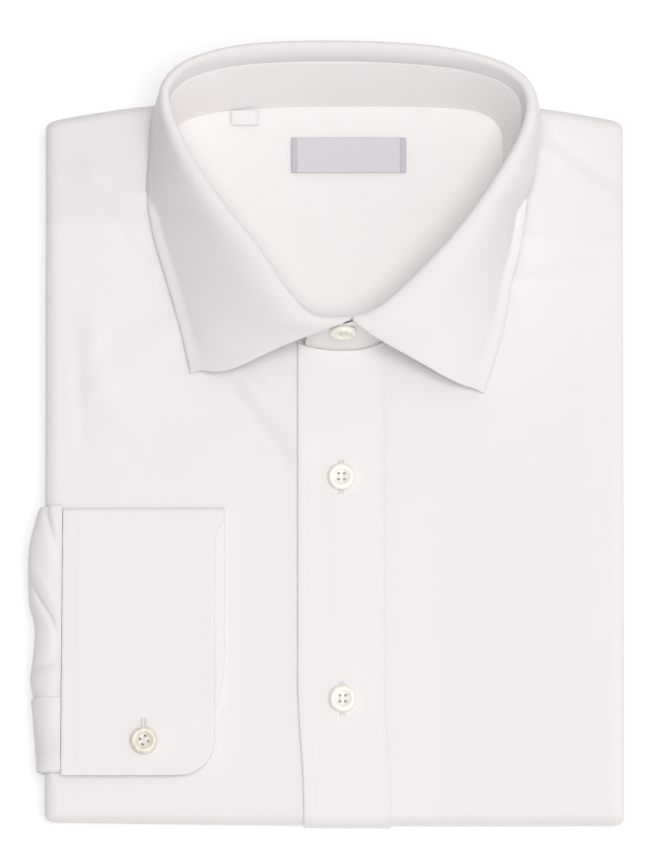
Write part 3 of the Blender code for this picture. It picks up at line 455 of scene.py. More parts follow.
def places_along(path, distance, wanted):
    """Points of a path at the wanted distances; distance holds those of its own points."""
    return np.column_stack([np.interp(wanted, distance, column) for column in path.T])


def tubes(name, points, material, **more):
    """Closed tubes in one mesh; points has an axis each for tubes, rings and corners."""
    count, rings, corners = points.shape[:3]
    faces = []
    for first in range(0, count * rings * corners, rings * corners):
        last = first + (rings - 1) * corners
        for ring in range(first, last, corners):
            for corner in range(corners):
                a, b = ring + corner, ring + (corner + 1) % corners
                faces.append((a, b, b + corners, a + corners))
        faces += [range(first, first + corners)[::-1], range(last, last + corners)]
    return mesh_piece(name, points.reshape(-1, 3), faces, material, **more)


def threads(name, points):
    """Sewing threads as tubes."""
    sewn = tubes(name, points, thread_material)
    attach(sewn, "root")
    return sewn


def stitch_row(name, points, normals):
    """Stitches along a line on the cloth, their ends sunk into it."""
    distance = path_distance(points)
    count = max(int((distance[-1] - STITCH_LENGTH) / STITCH_PITCH) + 1, 1)
    wanted = (np.arange(count)[:, None] * STITCH_PITCH
              + np.linspace(0.0, STITCH_LENGTH, len(THREAD_RISE))).ravel()
    normal = unit(places_along(normals, distance, wanted))
    side = unit(np.cross(places_along(points, distance, wanted + 0.1 * MM)
                         - places_along(points, distance, wanted - 0.1 * MM), normal))
    centre = (places_along(points, distance, wanted)
              + THREAD_RADIUS * np.tile(THREAD_RISE, count)[:, None] * normal)
    angles = np.linspace(0.0, 2.0 * math.pi, THREAD_SIDES, endpoint=False)[:, None]
    ring = np.cos(angles) * side[:, None] + np.sin(angles) * normal[:, None]
    swell = THREAD_RADIUS * np.tile(THREAD_SWELL, count)[:, None, None]
    return threads(name, (centre[:, None] + swell * ring).reshape(
        count, len(THREAD_RISE), THREAD_SIDES, 3))


def body_stitches(name, across, along, level, relief, sway=None):
    """Stitches along a line on a panel that is laid on the body."""
    if sway:
        across = across + sway(across, along)
    lift = relief(across, along)
    points = drape(across, along, level, lift)
    return stitch_row(name, points, unit(drape(across, along, level + MM, lift) - points))


lining_relief = creased([
    (-60, 122, 64, 121, 6, -0.18, 0.5), (-52, 138, -30, 118, 5, 0.25, 1),
    (44, 140, 62, 118, 5, 0.25, -1), (-10, 150, 30, 149.5, 4, 0.12, 0.6)])
lining = laid_panel(
    "yoke_lining_panel", (-BACK_HALF, BACK_HALF),
    (LINING_SEAM_Y, lambda x: shoulder_start(x) + LINING_TURN * END_FOLD_ARC),
    (BACK_STEP, 1.5 * MM), BACK_LEVEL, inner_poplin, lining_relief,
    kept=(FREE, FREE, SEAM, FREE))
lining_stitches = body_stitches(
    "lining_seam_stitches", np.linspace(-66.0, 68.0, 80) * MM,
    LINING_SEAM_Y + LINING_STITCH_RISE, BACK_LEVEL, lining_relief)
dress(lining, "yoke_lining", LINING_CUT)

# ----------------------------------------
# Neck label and size tag.  Both are woven satin ribbon, the ends of the label folded under
# and sewn down.  They are left plain.
RIBBON = 0.7 * MM
SATIN_THREAD_GAP = 0.2 * MM
LABEL_LEVEL = BACK_LEVEL + GAP + CLOTH
LABEL_LEFT_X, LABEL_RIGHT_X = -18.0 * MM, 29.9 * MM
LABEL_LOW_Y, LABEL_HIGH_Y = 128.1 * MM, 143.3 * MM
LABEL_BAND, LABEL_MARGIN = 2.6 * MM, 1.1 * MM
TAG_LEFT_X, TAG_RIGHT_X = -43.2 * MM, -31.8 * MM
TAG_LOW_Y, TAG_HIGH_Y = 148.8 * MM, 155.3 * MM
TAG_BAND = 0.8 * MM


def satin(name, ground, band, band_edges):
    """Woven satin ribbon: fine ribs, and darker bands at the ends given along x."""
    material, tree, shader = new_material(name)
    place, weave = woven(tree, SATIN_THREAD_GAP)
    x = add(tree, "SeparateXYZ", {"Vector": place}).outputs["X"]
    ends = maths(tree, "ADD", maths(tree, "LESS_THAN", x, band_edges[0]),
                 maths(tree, "GREATER_THAN", x, band_edges[1]))
    worn = maths(tree, "MULTIPLY", weave["Thick Threads"], 0.25)
    wire(tree, shader, {
        "Base Color": blend(tree, maths(tree, "ADD", ends, worn), ground, band),
        "Normal": bump(tree, weave["Weave Height"], 0.05 * MM),
        "Roughness": gloss(tree, weave["Thick Threads"], 0.38, 0.55), "Sheen Weight": 0.2})
    return material


def label_relief(x, y):
    """The label is held at its ends and stands a little proud between them."""
    share = np.clip((x - LABEL_LEFT_X) / (LABEL_RIGHT_X - LABEL_LEFT_X), 0.0, 1.0)
    return 0.25 * MM * np.sin(math.pi * share) + lining_relief(x, y)


label_satin = satin("label_satin", (0.685, 0.64, 0.69), (0.53, 0.495, 0.555),
                    (LABEL_LEFT_X + LABEL_BAND, LABEL_RIGHT_X - LABEL_BAND))
tag_satin = satin("tag_satin", (0.82, 0.805, 0.81), (0.76, 0.745, 0.75),
                  (TAG_LEFT_X + TAG_BAND, TAG_RIGHT_X - TAG_BAND))
label = laid_panel("neck_label_ribbon", (LABEL_LEFT_X, LABEL_RIGHT_X),
                   (LABEL_LOW_Y, LABEL_HIGH_Y), (1.2 * MM, 1.2 * MM), LABEL_LEVEL, label_satin,
                   label_relief, thickness=RIBBON)
label_line = np.linspace(LABEL_LOW_Y + 0.6 * MM, LABEL_HIGH_Y - 0.6 * MM, 12)
label_stitches = [
    body_stitches("label_stitches_" + side, x, label_line, LABEL_LEVEL, label_relief)
    for side, x in (("right", LABEL_LEFT_X + LABEL_MARGIN), ("left", LABEL_RIGHT_X - LABEL_MARGIN))]
dress(label, "neck_label",
      (LABEL_RIGHT_X - LABEL_LEFT_X, LABEL_HIGH_Y - LABEL_LOW_Y))
tag = laid_panel("size_tag_ribbon", (TAG_LEFT_X, TAG_RIGHT_X), (TAG_LOW_Y, TAG_HIGH_Y),
                 (1.0 * MM, 1.0 * MM), LABEL_LEVEL, tag_satin, lining_relief, thickness=RIBBON)
# The tag is a loop of ribbon, folded double, and its upper half shows.
dress(tag, "size_tag",
      (TAG_RIGHT_X - TAG_LEFT_X, 2.0 * (TAG_HIGH_Y - TAG_LOW_Y)))

# ----------------------------------------
# Fronts.  Two poplin panels, folded round the body's sides and over its lower end.  The right
# one runs on under the placket, and the neck is cut out of both.
YOKE_SEAM_RIGHT_Y, YOKE_SEAM_LEFT_Y = 106.5 * MM, 99.5 * MM
PLACKET_EDGE_X, PLACKET_WIDTH = -15.4 * MM, 36.0 * MM
PLACKET_SEAM_X = PLACKET_EDGE_X + PLACKET_WIDTH
PLACKET_SWAY = 2.6 * MM
PLACKET_SWAY_START_Y, PLACKET_SWAY_RUN = -88.0 * MM, 55.0 * MM
FRONT_OVERLAP_X = 14.0 * MM
SEAM_RISE, SEAM_RISE_RUN = 1.56 * MM, 26.0 * MM
FRONT_ALLOWANCE = (0.18 * MM, -3.0 * MM, 3.2 * MM)
STAND_SEAT = 0.5 * MM
NECK_CLEARANCE = 0.45 * MM
NECK_CUT_LOW, NECK_CUT_HIGH = 5.0 * MM, 40.0 * MM
FRONT_STEP = 1.7 * MM
NECKLINE = np.array([
    (4.4, 51.2), (-13, 53.6), (-30.5, 64.3), (-47.5, 84.5), (-61, 106), (-69, 124),
    (-71.5, 138), (-67, 149), (-54.5, 154.5), (-30, 157.2), (4.5, 158), (41, 157.6),
    (60, 155.8), (70, 149.5), (72.5, 137.5), (70, 120), (61.5, 100.5), (46.5, 79),
    (32, 63.4), (18, 53.8)]) * MM
PATH_STEPS = 12


def smooth_path(points, shares, start=0.0, end=0.0, closed=False):
    """Places at shares of the arc length of a Catmull-Rom curve through the given points.

    start is added to the distance of the first place and end to that of the last, so that a
    closed curve can overlap itself.
    """
    points = np.asarray(points, dtype=float)
    if closed:
        points = np.vstack([points, points, points])
    padded = np.vstack([2.0 * points[0] - points[1], points, 2.0 * points[-1] - points[-2]])
    step = np.linspace(0.0, 1.0, PATH_STEPS, endpoint=False)[:, None]
    dense = np.vstack([
        0.5 * (2.0 * b + (c - a) * step + (2.0 * a - 5.0 * b + 4.0 * c - d) * step ** 2
               + (3.0 * b - a - 3.0 * c + d) * step ** 3)
        for a, b, c, d in zip(padded, padded[1:], padded[2:], padded[3:])] + [padded[-2:-1]])
    lengths = path_distance(dense[:, :3])
    lower, upper = start, lengths[-1] + end
    if closed:
        one_turn = lengths[PATH_STEPS * (len(points) // 3)]
        lower, upper = one_turn + start, 2.0 * one_turn + end
    return places_along(dense, lengths, lower + np.asarray(shares) * (upper - lower))


def outward_normals(path):
    """Horizontal unit normals of a path that runs round the neck, pointing away from it."""
    tangents = np.gradient(path[:, :2], axis=0)
    return unit(np.column_stack([-tangents[:, 1], tangents[:, 0]]))


neckline = np.column_stack([
    NECKLINE, layer_height(*NECKLINE.T, BACK_LEVEL) + GAP + STAND_SEAT])
neck_path = smooth_path(neckline, np.linspace(0.0, 1.0, 145), closed=True)[:-1]
neck_outline = neck_path[:, :2] + NECK_CLEARANCE * outward_normals(
    np.vstack([neck_path[-1:], neck_path, neck_path[:1]]))[1:-1]
neck_cutter = tubes("neck_cutter", np.array([[
    [(x, y, z) for x, y in neck_outline] for z in (NECK_CUT_LOW, NECK_CUT_HIGH)]]), None)
neck_cutter.data.shade_flat()
neck_cutter.hide_render = True


def cut_neck_out(piece):
    """Take the neck out of a panel, and keep the mesh that is left."""
    boolean = piece.modifiers.new("neck", "BOOLEAN")
    boolean.operation = "DIFFERENCE"
    boolean.solver = "EXACT"
    boolean.object = neck_cutter
    evaluated = piece.evaluated_get(bpy.context.evaluated_depsgraph_get())
    mesh = bpy.data.meshes.new_from_object(evaluated)
    piece.modifiers.clear()
    piece.data = mesh


def yoke_seam(across):
    """Front yoke seam, a little higher on the wearer's right."""
    share = smooth_step((across / MM + 60.0) / 120.0)
    return YOKE_SEAM_RIGHT_Y + share * (YOKE_SEAM_LEFT_Y - YOKE_SEAM_RIGHT_Y)


front_creases = creased([
    (-100, 127, -82, 115, 5.5, 1.8, 0), (-97.2, 127.1, -80.1, 112, 2.4, -0.85, 0.8),
    (-37, 40, -14, 10, 5.5, 1.9, 0), (-41.7, 32.6, -20.3, 4.4, 2.4, -0.6, -0.6),
    (-100, 56, -94, 27, 7, 1.35, 1.5), (-84, 15.5, -56, 6, 7, 1.35, 1.2),
    (-106.5, 44, -105.3, 14, 2.6, -0.5, 0.5), (-60, 64, -84, 46, 7, 0.9, 1.5),
    (76, 80, 106, 85, 5, 1.5, 0), (74.5, 76, 112.1, 81.8, 2.4, -0.5, 0.5),
    (86.8, 146.9, 118, 124, 2.6, -0.85, 1.2), (86, 138, 114, 117, 5, 1.4, 0),
    (81.4, 97.6, 116, 101.2, 2.2, -0.5, 0.3), (96, 37.9, 118, 38.4, 3, -0.45, 0.2),
    (-87.3, 98.9, -79.6, 91.1, 3, -0.65, 0.2), (-112, 96, -84, 92, 7, 0.35, 0.6),
    (40, 22, 70, -6, 14, 0.30, 2), (60, -60, 96, -96, 16, 0.28, -2),
    (-30, -70, -24, -130, 10, 0.25, 1), (34, -120, 110, -128, 12, 0.3, 1),
    (104, 60, 106, -60, 6, 0.25, 1), (-112, 80, -112, 20, 5, 0.25, 0.6)])


def over_allowance(across, along, height, place, half_width):
    """Creases of the outer cloth, with its rise over an allowance beside the yoke's seam."""
    beside = along - yoke_seam(across) - place
    return front_creases(across, along) + height * np.exp(-(beside / half_width) ** 2)


def front_relief(across, along):
    return over_allowance(across, along, *FRONT_ALLOWANCE)


def left_front_relief(across, along):
    """The left front also rises beside the placket that it is sewn to."""
    rise = SEAM_RISE * (1.0 - smooth_step((across - PLACKET_SEAM_X) / SEAM_RISE_RUN))
    return front_relief(across, along) + rise


def placket_sway(across, along):
    """Sideways drift of the overlap near the hem, which dies out towards the side fold."""
    drift = PLACKET_SWAY * smooth_step((PLACKET_SWAY_START_Y - along) / PLACKET_SWAY_RUN)
    seam_x = PLACKET_SEAM_X + GAP
    return drift * (1.0 - np.clip((across - seam_x) / (FLAT_HALF_WIDTH - seam_x), 0.0, 1.0))


def hem_end(x):
    """Where the fronts end under the hem's fold."""
    return hem_start(x) - END_FOLD_TURN * END_FOLD_ARC


front_poplin = poplin("front_poplin", (0.868, 0.838, 0.832), (0.855, 0.823, 0.817),
                      (0.70, 0.86), 0.04, 0.25)
for name, node, ends, relief, sway, first_edge in (
        ("right_front_panel", "front_right", (-SIDE_REACH, FRONT_OVERLAP_X), front_relief, None,
         FREE),
        ("left_front_panel", "front_left", (PLACKET_SEAM_X + 0.04 * MM, SIDE_REACH),
         left_front_relief, placket_sway, FLUSH)):
    panel = laid_panel(name, ends, (hem_end, yoke_seam), (FRONT_STEP, FRONT_STEP), FRONT_LEVEL,
                       front_poplin, relief, sway, (first_edge, FREE, FREE, SEAM))
    cut_neck_out(panel)
    dress(panel, node, (ends[1] - ends[0], float(yoke_seam(0.0) - hem_end(0.0))))

# ----------------------------------------
# Placket.  A folded band of poplin down the edge of the left front, with one row of stitches
# near its free edge and one near its seam.  Its upper end is caught in the collar stand.
BAND_CLOTH = 1.3 * MM
PLACKET_LEVEL = FRONT_LEVEL + GAP + BAND_CLOTH
PLACKET_TOP_Y = 70.0 * MM
PLACKET_HEM_TURN = math.radians(138)
PLACKET_STITCHES = (("edge", PLACKET_EDGE_X + 5.2 * MM), ("seam", PLACKET_SEAM_X - 1.2 * MM))

placket_poplin = poplin("placket_poplin", (0.882, 0.852, 0.845), (0.868, 0.837, 0.83),
                        (0.68, 0.84), 0.04, 0.2)
placket_creases = creased([(2, 44, 2, 12, 7, 0.22, 0.6), (3, -20, 3, -80, 8, 0.22, -0.8),
                           (-8, 30, -4, -60, 3, -0.10, 0.5)])


def placket_relief(across, along):
    return front_creases(across, along) + placket_creases(across, along)


placket = laid_panel(
    "placket_band", (PLACKET_EDGE_X, PLACKET_SEAM_X),
    (lambda x: hem_start(x) - PLACKET_HEM_TURN * END_FOLD_ARC, PLACKET_TOP_Y),
    (1.5 * MM, FRONT_STEP), PLACKET_LEVEL, placket_poplin, placket_relief, placket_sway,
    (FREE, FLUSH, FREE, FREE), BAND_CLOTH)
cut_neck_out(placket)
placket_line = np.linspace(48.0 * MM, HEM_EDGE_Y - 6.0 * MM, 160)
placket_stitches = [
    body_stitches("placket_stitches_" + side, x, placket_line, PLACKET_LEVEL, placket_relief,
                  placket_sway) for side, x in PLACKET_STITCHES]
dress(placket, "placket",
      (PLACKET_WIDTH, PLACKET_TOP_Y - HEM_EDGE_Y + 12.0 * MM))

# ----------------------------------------
# Yoke.  The outer shoulder piece comes over the shoulder's fold to the front seams, where it
# is topstitched to the fronts.
YOKE_ALLOWANCE = (0.22 * MM, 2.5 * MM, 3.0 * MM)


def yoke_relief(across, along):
    return over_allowance(across, along, *YOKE_ALLOWANCE)


def yoke_end(x):
    """Where the yoke ends under the shoulder's fold."""
    return shoulder_start(x) + END_FOLD_TURN * END_FOLD_ARC


yoke_poplin = poplin("yoke_poplin", (0.842, 0.813, 0.807), (0.828, 0.797, 0.791),
                     (0.70, 0.86), 0.04, 0.25)
yoke = laid_panel(
    "yoke_panel", (-SIDE_REACH, SIDE_REACH), (yoke_seam, yoke_end), (FRONT_STEP, 1.5 * MM),
    FRONT_LEVEL, yoke_poplin, yoke_relief, kept=(FREE, FREE, SEAM, FREE))
cut_neck_out(yoke)
for side, first, last in (("right", -124.0, -66.0), ("left", 66.0, 124.0)):
    line = np.linspace(first, last, 60) * MM
    body_stitches(
        "yoke_stitches_" + side, line, yoke_seam(line) + 1.5 * MM, FRONT_LEVEL, yoke_relief)
dress(yoke, "yoke", (2.0 * SIDE_REACH, float(yoke_end(0.0) - yoke_seam(0.0))))
bpy.data.objects.remove(neck_cutter, do_unlink=True)

# ----------------------------------------
# Collar stand.  An interlined band that is sewn to the neckline and stands up from it.  Its
# left end passes over the right one at the throat, where the collar button holds them.
COLLAR_CLOTH = 1.4 * MM
STAND_WIDTH = 31.0 * MM
STAND_SHARE, STAND_SHARE_FRONT, STAND_SHARE_RUN = 0.77, 0.87, 80.0 * MM
STAND_END_DROP, STAND_END_RUN = 0.08, 4.0 * MM
STAND_BOW = 1.6 * MM
STAND_OVERLAP_SHIFT, STAND_OVERLAP_PAST, STAND_OVERLAP_RUN = 2.4 * MM, 6.0 * MM, 30.0 * MM
STAND_RIGHT_END, STAND_LEFT_END = 17.0 * MM, 17.5 * MM
STAND_END_ROUND, STAND_END_KEPT = 13.0 * MM, 0.35
STAND_SUNK, STAND_SUNK_SHARE = 0.6 * MM, 0.3
STAND_ROWS = np.concatenate([np.linspace(0.0, 0.94, 20), [0.965, 0.985, 1.0]])
LEAF_LEFT_END = 3.0 * MM
FOLD_RADIUS = 1.8 * MM
FOLD_LINE = np.array([
    (4.8, 57.3, 45.5), (-11, 58.5, 46.3), (-22.3, 69.3, 47.8), (-34.5, 87.3, 49.5),
    (-49, 105.5, 51), (-61.7, 124, 52), (-69, 138.8, 52), (-72.8, 150, 52),
    (-71.8, 160.2, 52), (-60.6, 170.2, 52), (-36.4, 176.4, 52), (2.3, 177.8, 52),
    (40, 175.8, 52), (64.4, 170.7, 52), (78.8, 162.9, 52), (84.1, 152.2, 52),
    (81.1, 136.7, 52), (68.7, 114.6, 51.5), (52.4, 92.6, 50.5), (33.4, 72.6, 48.4),
    (18.4, 60.5, 46.7)]) * MM

# The stand's poplin is paler than the body's: painted light, making up for the shade that the
# standing band is in.
stand_poplin_painted_light = poplin("stand_poplin_painted_light", (0.922, 0.888, 0.877), (0.907, 0.873, 0.861),
                      (0.62, 0.78), 0.03, 0.15)


def collar_lines(columns, start, end):
    """Stretch round the neck, its stations close together at both ends.

    It gives the shares of the stations, their distances from its start, the neck seam, the
    middle of the fold and the outward directions.
    """
    near = np.array([0.0006, 0.0018, 0.0035])
    shares = np.sort(np.concatenate([np.linspace(0.0, 1.0, columns), near, 1.0 - near]))
    base, fold = (smooth_path(line, shares, start, end, True) for line in (neckline, FOLD_LINE))
    outward = np.column_stack([outward_normals(fold), np.zeros(len(fold))])
    return shares, path_distance(base), base, fold - FOLD_RADIUS * outward, outward


def overlap_shift(distance):
    """How far inside the neckline the stand runs, by distance from its under end."""
    past = distance - (STAND_RIGHT_END + STAND_LEFT_END) - STAND_OVERLAP_PAST
    return STAND_OVERLAP_SHIFT * (1.0 - smooth_step(past / STAND_OVERLAP_RUN))


def stand_share(distance):
    """Share of the rise to the fold that is stand, by distance from the throat."""
    return STAND_SHARE + (STAND_SHARE_FRONT - STAND_SHARE) * (
        1.0 - smooth_step(distance / STAND_SHARE_RUN))


def stand_curl(height):
    """Inward curl of the stand at a share of its height."""
    return STAND_BOW * np.sin(math.pi * height)


def thickened(middle, half, towards):
    """Outer and inner points and normals of a wall; most of its outer side looks towards."""
    normal = unit(np.cross(np.gradient(middle, axis=1), np.gradient(middle, axis=0)))
    normal = normal * np.sign(np.sum(normal * towards, axis=-1).mean())
    return middle + half[..., None] * normal, middle - half[..., None] * normal, normal


_, distance, base, fold, outward = collar_lines(240, -STAND_RIGHT_END, STAND_LEFT_END)
stand_length = float(distance[-1])
left_throat = stand_length - STAND_LEFT_END
from_throat = np.minimum(np.abs(distance - STAND_RIGHT_END), np.abs(left_throat - distance))
end_distance = np.minimum(distance, stand_length - distance)
past_leaf = distance - (left_throat - LEAF_LEFT_END)
top_share = stand_share(from_throat) - STAND_END_DROP * smooth_step(past_leaf / STAND_END_RUN)
top_share = top_share * rounding(end_distance, STAND_END_ROUND, STAND_END_KEPT)
stand_middle = []
for share in STAND_ROWS:
    height = share * top_share
    inset = overlap_shift(distance) + stand_curl(height)
    row = base + height[:, None] * (fold - base) - inset[:, None] * outward
    row[:, 2] -= STAND_SUNK * (1.0 - smooth_step(share / STAND_SUNK_SHARE))
    stand_middle.append(row)
stand_middle = np.array(stand_middle)
stand_height = np.linalg.norm(stand_middle[-1] - stand_middle[0], axis=1)
stand_edge = np.minimum((1.0 - STAND_ROWS)[:, None] * stand_height, end_distance)
stand_outer, stand_inner, _ = thickened(
    stand_middle, 0.5 * COLLAR_CLOTH * rounding(stand_edge), outward)
stand = cloth_piece("collar_stand_band", stand_outer, stand_inner,
                    stacked(distance, STAND_ROWS[:, None] * stand_height), stand_poplin_painted_light)


def grid_points(grid, rows, columns):
    """Points of a grid at fractional row and column numbers."""
    rows = np.clip(rows, 0.0, grid.shape[0] - 1.001)
    columns = np.clip(columns, 0.0, grid.shape[1] - 1.001)
    row, column = rows.astype(int), columns.astype(int)
    row_part, column_part = (rows - row)[:, None], (columns - column)[:, None]
    near = grid[row, column] * (1.0 - column_part) + grid[row, column + 1] * column_part
    far = grid[row + 1, column] * (1.0 - column_part) + grid[row + 1, column + 1] * column_part
    return near * (1.0 - row_part) + far * row_part


def grid_stitches(name, surface, other_side, rows, columns):
    """Stitches on one face of a wall, along fractional rows and columns of its grid."""
    at = np.broadcast_arrays(rows, columns)
    points = grid_points(surface, *at)
    return stitch_row(name, points, unit(points - grid_points(other_side, *at)))


stand_columns = np.linspace(3.0, len(distance) - 4.0, 400)
stand_stitches = [
    grid_stitches(name, stand_inner, stand_outer, row, stand_columns)
    for name, row in (("stand_seam_stitches", 2.4), ("stand_top_stitches", 18.2))]
dress(stand, "collar_stand", (stand_length, STAND_WIDTH))

# ----------------------------------------
# Collar leaf.  Two layers of poplin over a stiff interlining, turned at the edge and
# topstitched all round.  It is sewn to the top of the stand, rolls over and falls outside it
# to two points.
LEAF_CUT = (480.0 * MM, 84.0 * MM)
LEAF_SEAM_GAP = 0.15 * MM
LEAF_BELLY_SKEW, LEAF_FRONT_SKEW = 0.6, 2.0
LEAF_ROLL_START, LEAF_BACK_ROLL_START = math.radians(138), math.radians(112)
LEAF_LEG_FULLNESS, LEAF_BACK_LEG_FULLNESS = 0.10, 0.48
LEAF_BACK_START, LEAF_BACK_RUN = 135.0 * MM, 35.0 * MM
LEAF_FULLNESS = [(0, 1), (15, 3), (40, 4.6), (75, 4), (107, 3), (128, 1.5), (150, 0.8),
                 (400, 0.8)]
LEAF_LEFT_FULLNESS, LEAF_LEFT_RUN = 2.6 * MM, 28.0 * MM
LEAF_RAMP = [(0, 8), (40, 10), (75, 4.4), (107, 2.6), (128, 1.4), (150, 1.2), (400, 1.2)]
LEAF_FRONT_RUN = 40.0 * MM
LEAF_RIGHT_END = -1.9 * MM
LEAF_MARGIN = 4.6 * MM
LEAF_STRIP, LEAF_GROOVE, GROOVE_HALF = 0.22 * MM, 0.16 * MM, 0.7 * MM
LEAF_FOOT, LEAF_FOOT_REACH, LEAF_FOOT_RISE = 5.0 * MM, 0.85 * 5.0 * MM, 1.5 * MM
LEAF_FLAT_Y, LEAF_FLAT_RUN, LEAF_FLATTER = 122.0 * MM, 14.0 * MM, 0.9
LEAF_EDGE = np.array([
    (-60.3, 41.2, 20.5, 3.8), (-65.2, 62, 20.5, 3.6), (-70.6, 81, 20.4, 3.6),
    (-76.5, 101.5, 20.3, 1.6), (-78.8, 117, 20.2, 1.4), (-78, 133, 20, 1.8),
    (-76.8, 148, 20, 1.8), (-73, 161.5, 16, 1.8), (-60, 172.5, 10.5, 2),
    (-36, 178.5, 7.5, 2.5), (2, 180.5, 6.5, 2.5), (40, 179, 7, 2.5), (66, 174, 10, 2),
    (80.2, 164, 15, 1.7), (83, 151, 20, 2.2), (82.6, 131, 20.2, 2.8), (81, 112, 20.3, 1.8),
    (78.3, 95, 20.4, 2), (74, 78, 20.5, 2), (70, 57, 20.5, 1.5), (62.5, 32.6, 20.5, 1.5)]) * MM
LEG_ROWS, ROLL_ROWS, FALL_ROWS = 12, 12, 46
FALL_CLOSENESS = 1.5
LEAF_SIDE_COLUMNS = 60
UP = np.array([0.0, 0.0, 1.0])

# The leaf's poplin is a touch darker than the body's: painted shade for the collar's sloping faces.
leaf_poplin_painted_shade = poplin("leaf_poplin_painted_shade", (0.842, 0.812, 0.806), (0.828, 0.798, 0.791),
                     (0.62, 0.78), 0.03, 0.15)
shares, distance, base, fold, outward = collar_lines(250, LEAF_RIGHT_END, -LEAF_LEFT_END)
leaf_edge = smooth_path(LEAF_EDGE, shares)
leaf_rim_line, belly_size = leaf_edge[:, :3], leaf_edge[:, 3]
from_left = distance[-1] - distance
from_throat = np.minimum(distance, from_left)
seam_share = stand_share(from_throat)
inset = overlap_shift(distance + STAND_RIGHT_END + LEAF_RIGHT_END) + stand_curl(seam_share)
seam = base + seam_share[:, None] * (fold - base) - inset[:, None] * outward
centre = fold - FOLD_RADIUS * UP
seam = seam + LEAF_SEAM_GAP * unit(centre - FOLD_RADIUS * outward - seam)
front_share = 1.0 - smooth_step(from_throat / STAND_SHARE_RUN)
skew = 1.0 + LEAF_BELLY_SKEW + (LEAF_FRONT_SKEW - LEAF_BELLY_SKEW) * front_share
at_back = smooth_step((from_throat - LEAF_BACK_START) / LEAF_BACK_RUN)[:, None]
roll_start = LEAF_ROLL_START + at_back * (LEAF_BACK_ROLL_START - LEAF_ROLL_START)
leg_fullness = LEAF_LEG_FULLNESS + at_back * (LEAF_BACK_LEG_FULLNESS - LEAF_LEG_FULLNESS)


def on_roll(angle):
    return centre + FOLD_RADIUS * (np.cos(angle) * outward + np.sin(angle) * UP)


def edge_shares(count, closeness=1.0):
    """Shares of the way to a rounded edge, close together at its end."""
    return np.append(0.985 * np.linspace(0.0, 1.0, count) ** closeness, [0.991, 0.996, 1.0])


leg_end = on_roll(roll_start)
leg_run = np.linalg.norm(leg_end - seam, axis=1)[:, None]
leg_bend = leg_end - leg_fullness * leg_run * (
    np.sin(roll_start) * outward - np.cos(roll_start) * UP)
leaf_rows = [(1.0 - s) ** 2 * seam + 2.0 * s * (1.0 - s) * leg_bend + s ** 2 * leg_end
             for s in np.linspace(0.0, 1.0, LEG_ROWS)[:-1]]
leaf_rows += [on_roll(roll_start + s * (0.5 * math.pi - roll_start))
              for s in np.linspace(0.0, 1.0, ROLL_ROWS)]
ridge = leaf_rows[-1]
towards_ridge = ridge - leaf_rim_line
fall_length = np.linalg.norm(towards_ridge, axis=1)
towards_ridge[:, 2] = 0.0
lies_flat = smooth_step((LEAF_FLAT_Y - leaf_rim_line[:, 1]) / LEAF_FLAT_RUN)
foot_share = np.maximum(lies_flat * LEAF_FOOT / fall_length, 1e-6)
foot = leaf_rim_line + (lies_flat * LEAF_FOOT_REACH)[:, None] * unit(towards_ridge)
foot[:, 2] += LEAF_FOOT_RISE * lies_flat
fullness = (np.interp(from_throat / MM, *np.array(LEAF_FULLNESS).T) * MM
            + LEAF_LEFT_FULLNESS * (1.0 - smooth_step(from_left / LEAF_LEFT_RUN)))
ramp = np.interp(from_throat / MM, *np.array(LEAF_RAMP).T) * MM / fall_length
flatter = 1.0 - LEAF_FLATTER * lies_flat * smooth_step(from_throat / LEAF_FRONT_RUN)
for share in edge_shares(FALL_ROWS, FALL_CLOSENESS)[1:]:
    on_face = np.clip(share / (1.0 - foot_share), 0.0, 1.0)
    on_foot = np.clip((share - 1.0 + foot_share) / foot_share, 0.0, 1.0)[:, None]
    belly = flatter * belly_size * np.sin(math.pi * on_face ** skew)
    filled = (1.0 - np.exp(-on_face / ramp)) * (1.0 - on_face) * fullness
    dropped = (np.sqrt(on_face ** 2 + ramp ** 2) - ramp) / (np.sqrt(1.0 + ramp ** 2) - ramp)
    face = ridge + stacked(on_face, on_face, dropped) * (foot - ridge)
    face = face + (filled + belly)[:, None] * outward
    leaf_rows.append(face + on_foot * (leaf_rim_line - foot))
leaf_middle = np.array(leaf_rows)
fall_first = LEG_ROWS - 1 + ROLL_ROWS


def rim_distances(grid, first, step):
    """Distance of each point of a grid from its sides, from the given row on, and last row."""
    line = np.vstack([grid[first:, 0], grid[-1, 1:-1], grid[first:, -1][::-1]])
    distance = path_distance(line)
    result = np.full(grid.shape[:2], 1.0)
    for point in places_along(line, distance, np.arange(0.0, distance[-1], step)):
        result = np.minimum(result, np.linalg.norm(grid - point, axis=-1))
    return result


leaf_rim = rim_distances(leaf_middle, fall_first, 0.5 * MM)
leaf_rim[:fall_first] = from_throat
strip = LEAF_STRIP * smooth_step((LEAF_MARGIN + 0.6 * MM - leaf_rim) / (1.0 * MM))
strip -= LEAF_GROOVE * np.exp(-((leaf_rim - LEAF_MARGIN) / GROOVE_HALF) ** 2)
strip[:fall_first + 3] = 0.0
leaf_outer, leaf_inner, normal = thickened(
    leaf_middle, 0.5 * COLLAR_CLOTH * rounding(leaf_rim, 1.1 * MM), outward)
leaf_outer = leaf_outer + strip[..., None] * normal
row_length = np.cumsum(np.linalg.norm(
    np.diff(leaf_middle, axis=0, prepend=leaf_middle[:1]), axis=-1), axis=0)
leaf = cloth_piece("collar_leaf_band", leaf_outer, leaf_inner, stacked(distance, row_length),
                   leaf_poplin_painted_shade)


def margin_at(values, margin):
    """Fractional index at which values, taken from the last one back, rise past the margin."""
    inside = np.nonzero(values > margin)[0]
    if not len(inside) or inside[-1] == len(values) - 1:
        return None
    last = inside[-1]
    return last + (values[last] - margin) / (values[last] - values[last + 1])


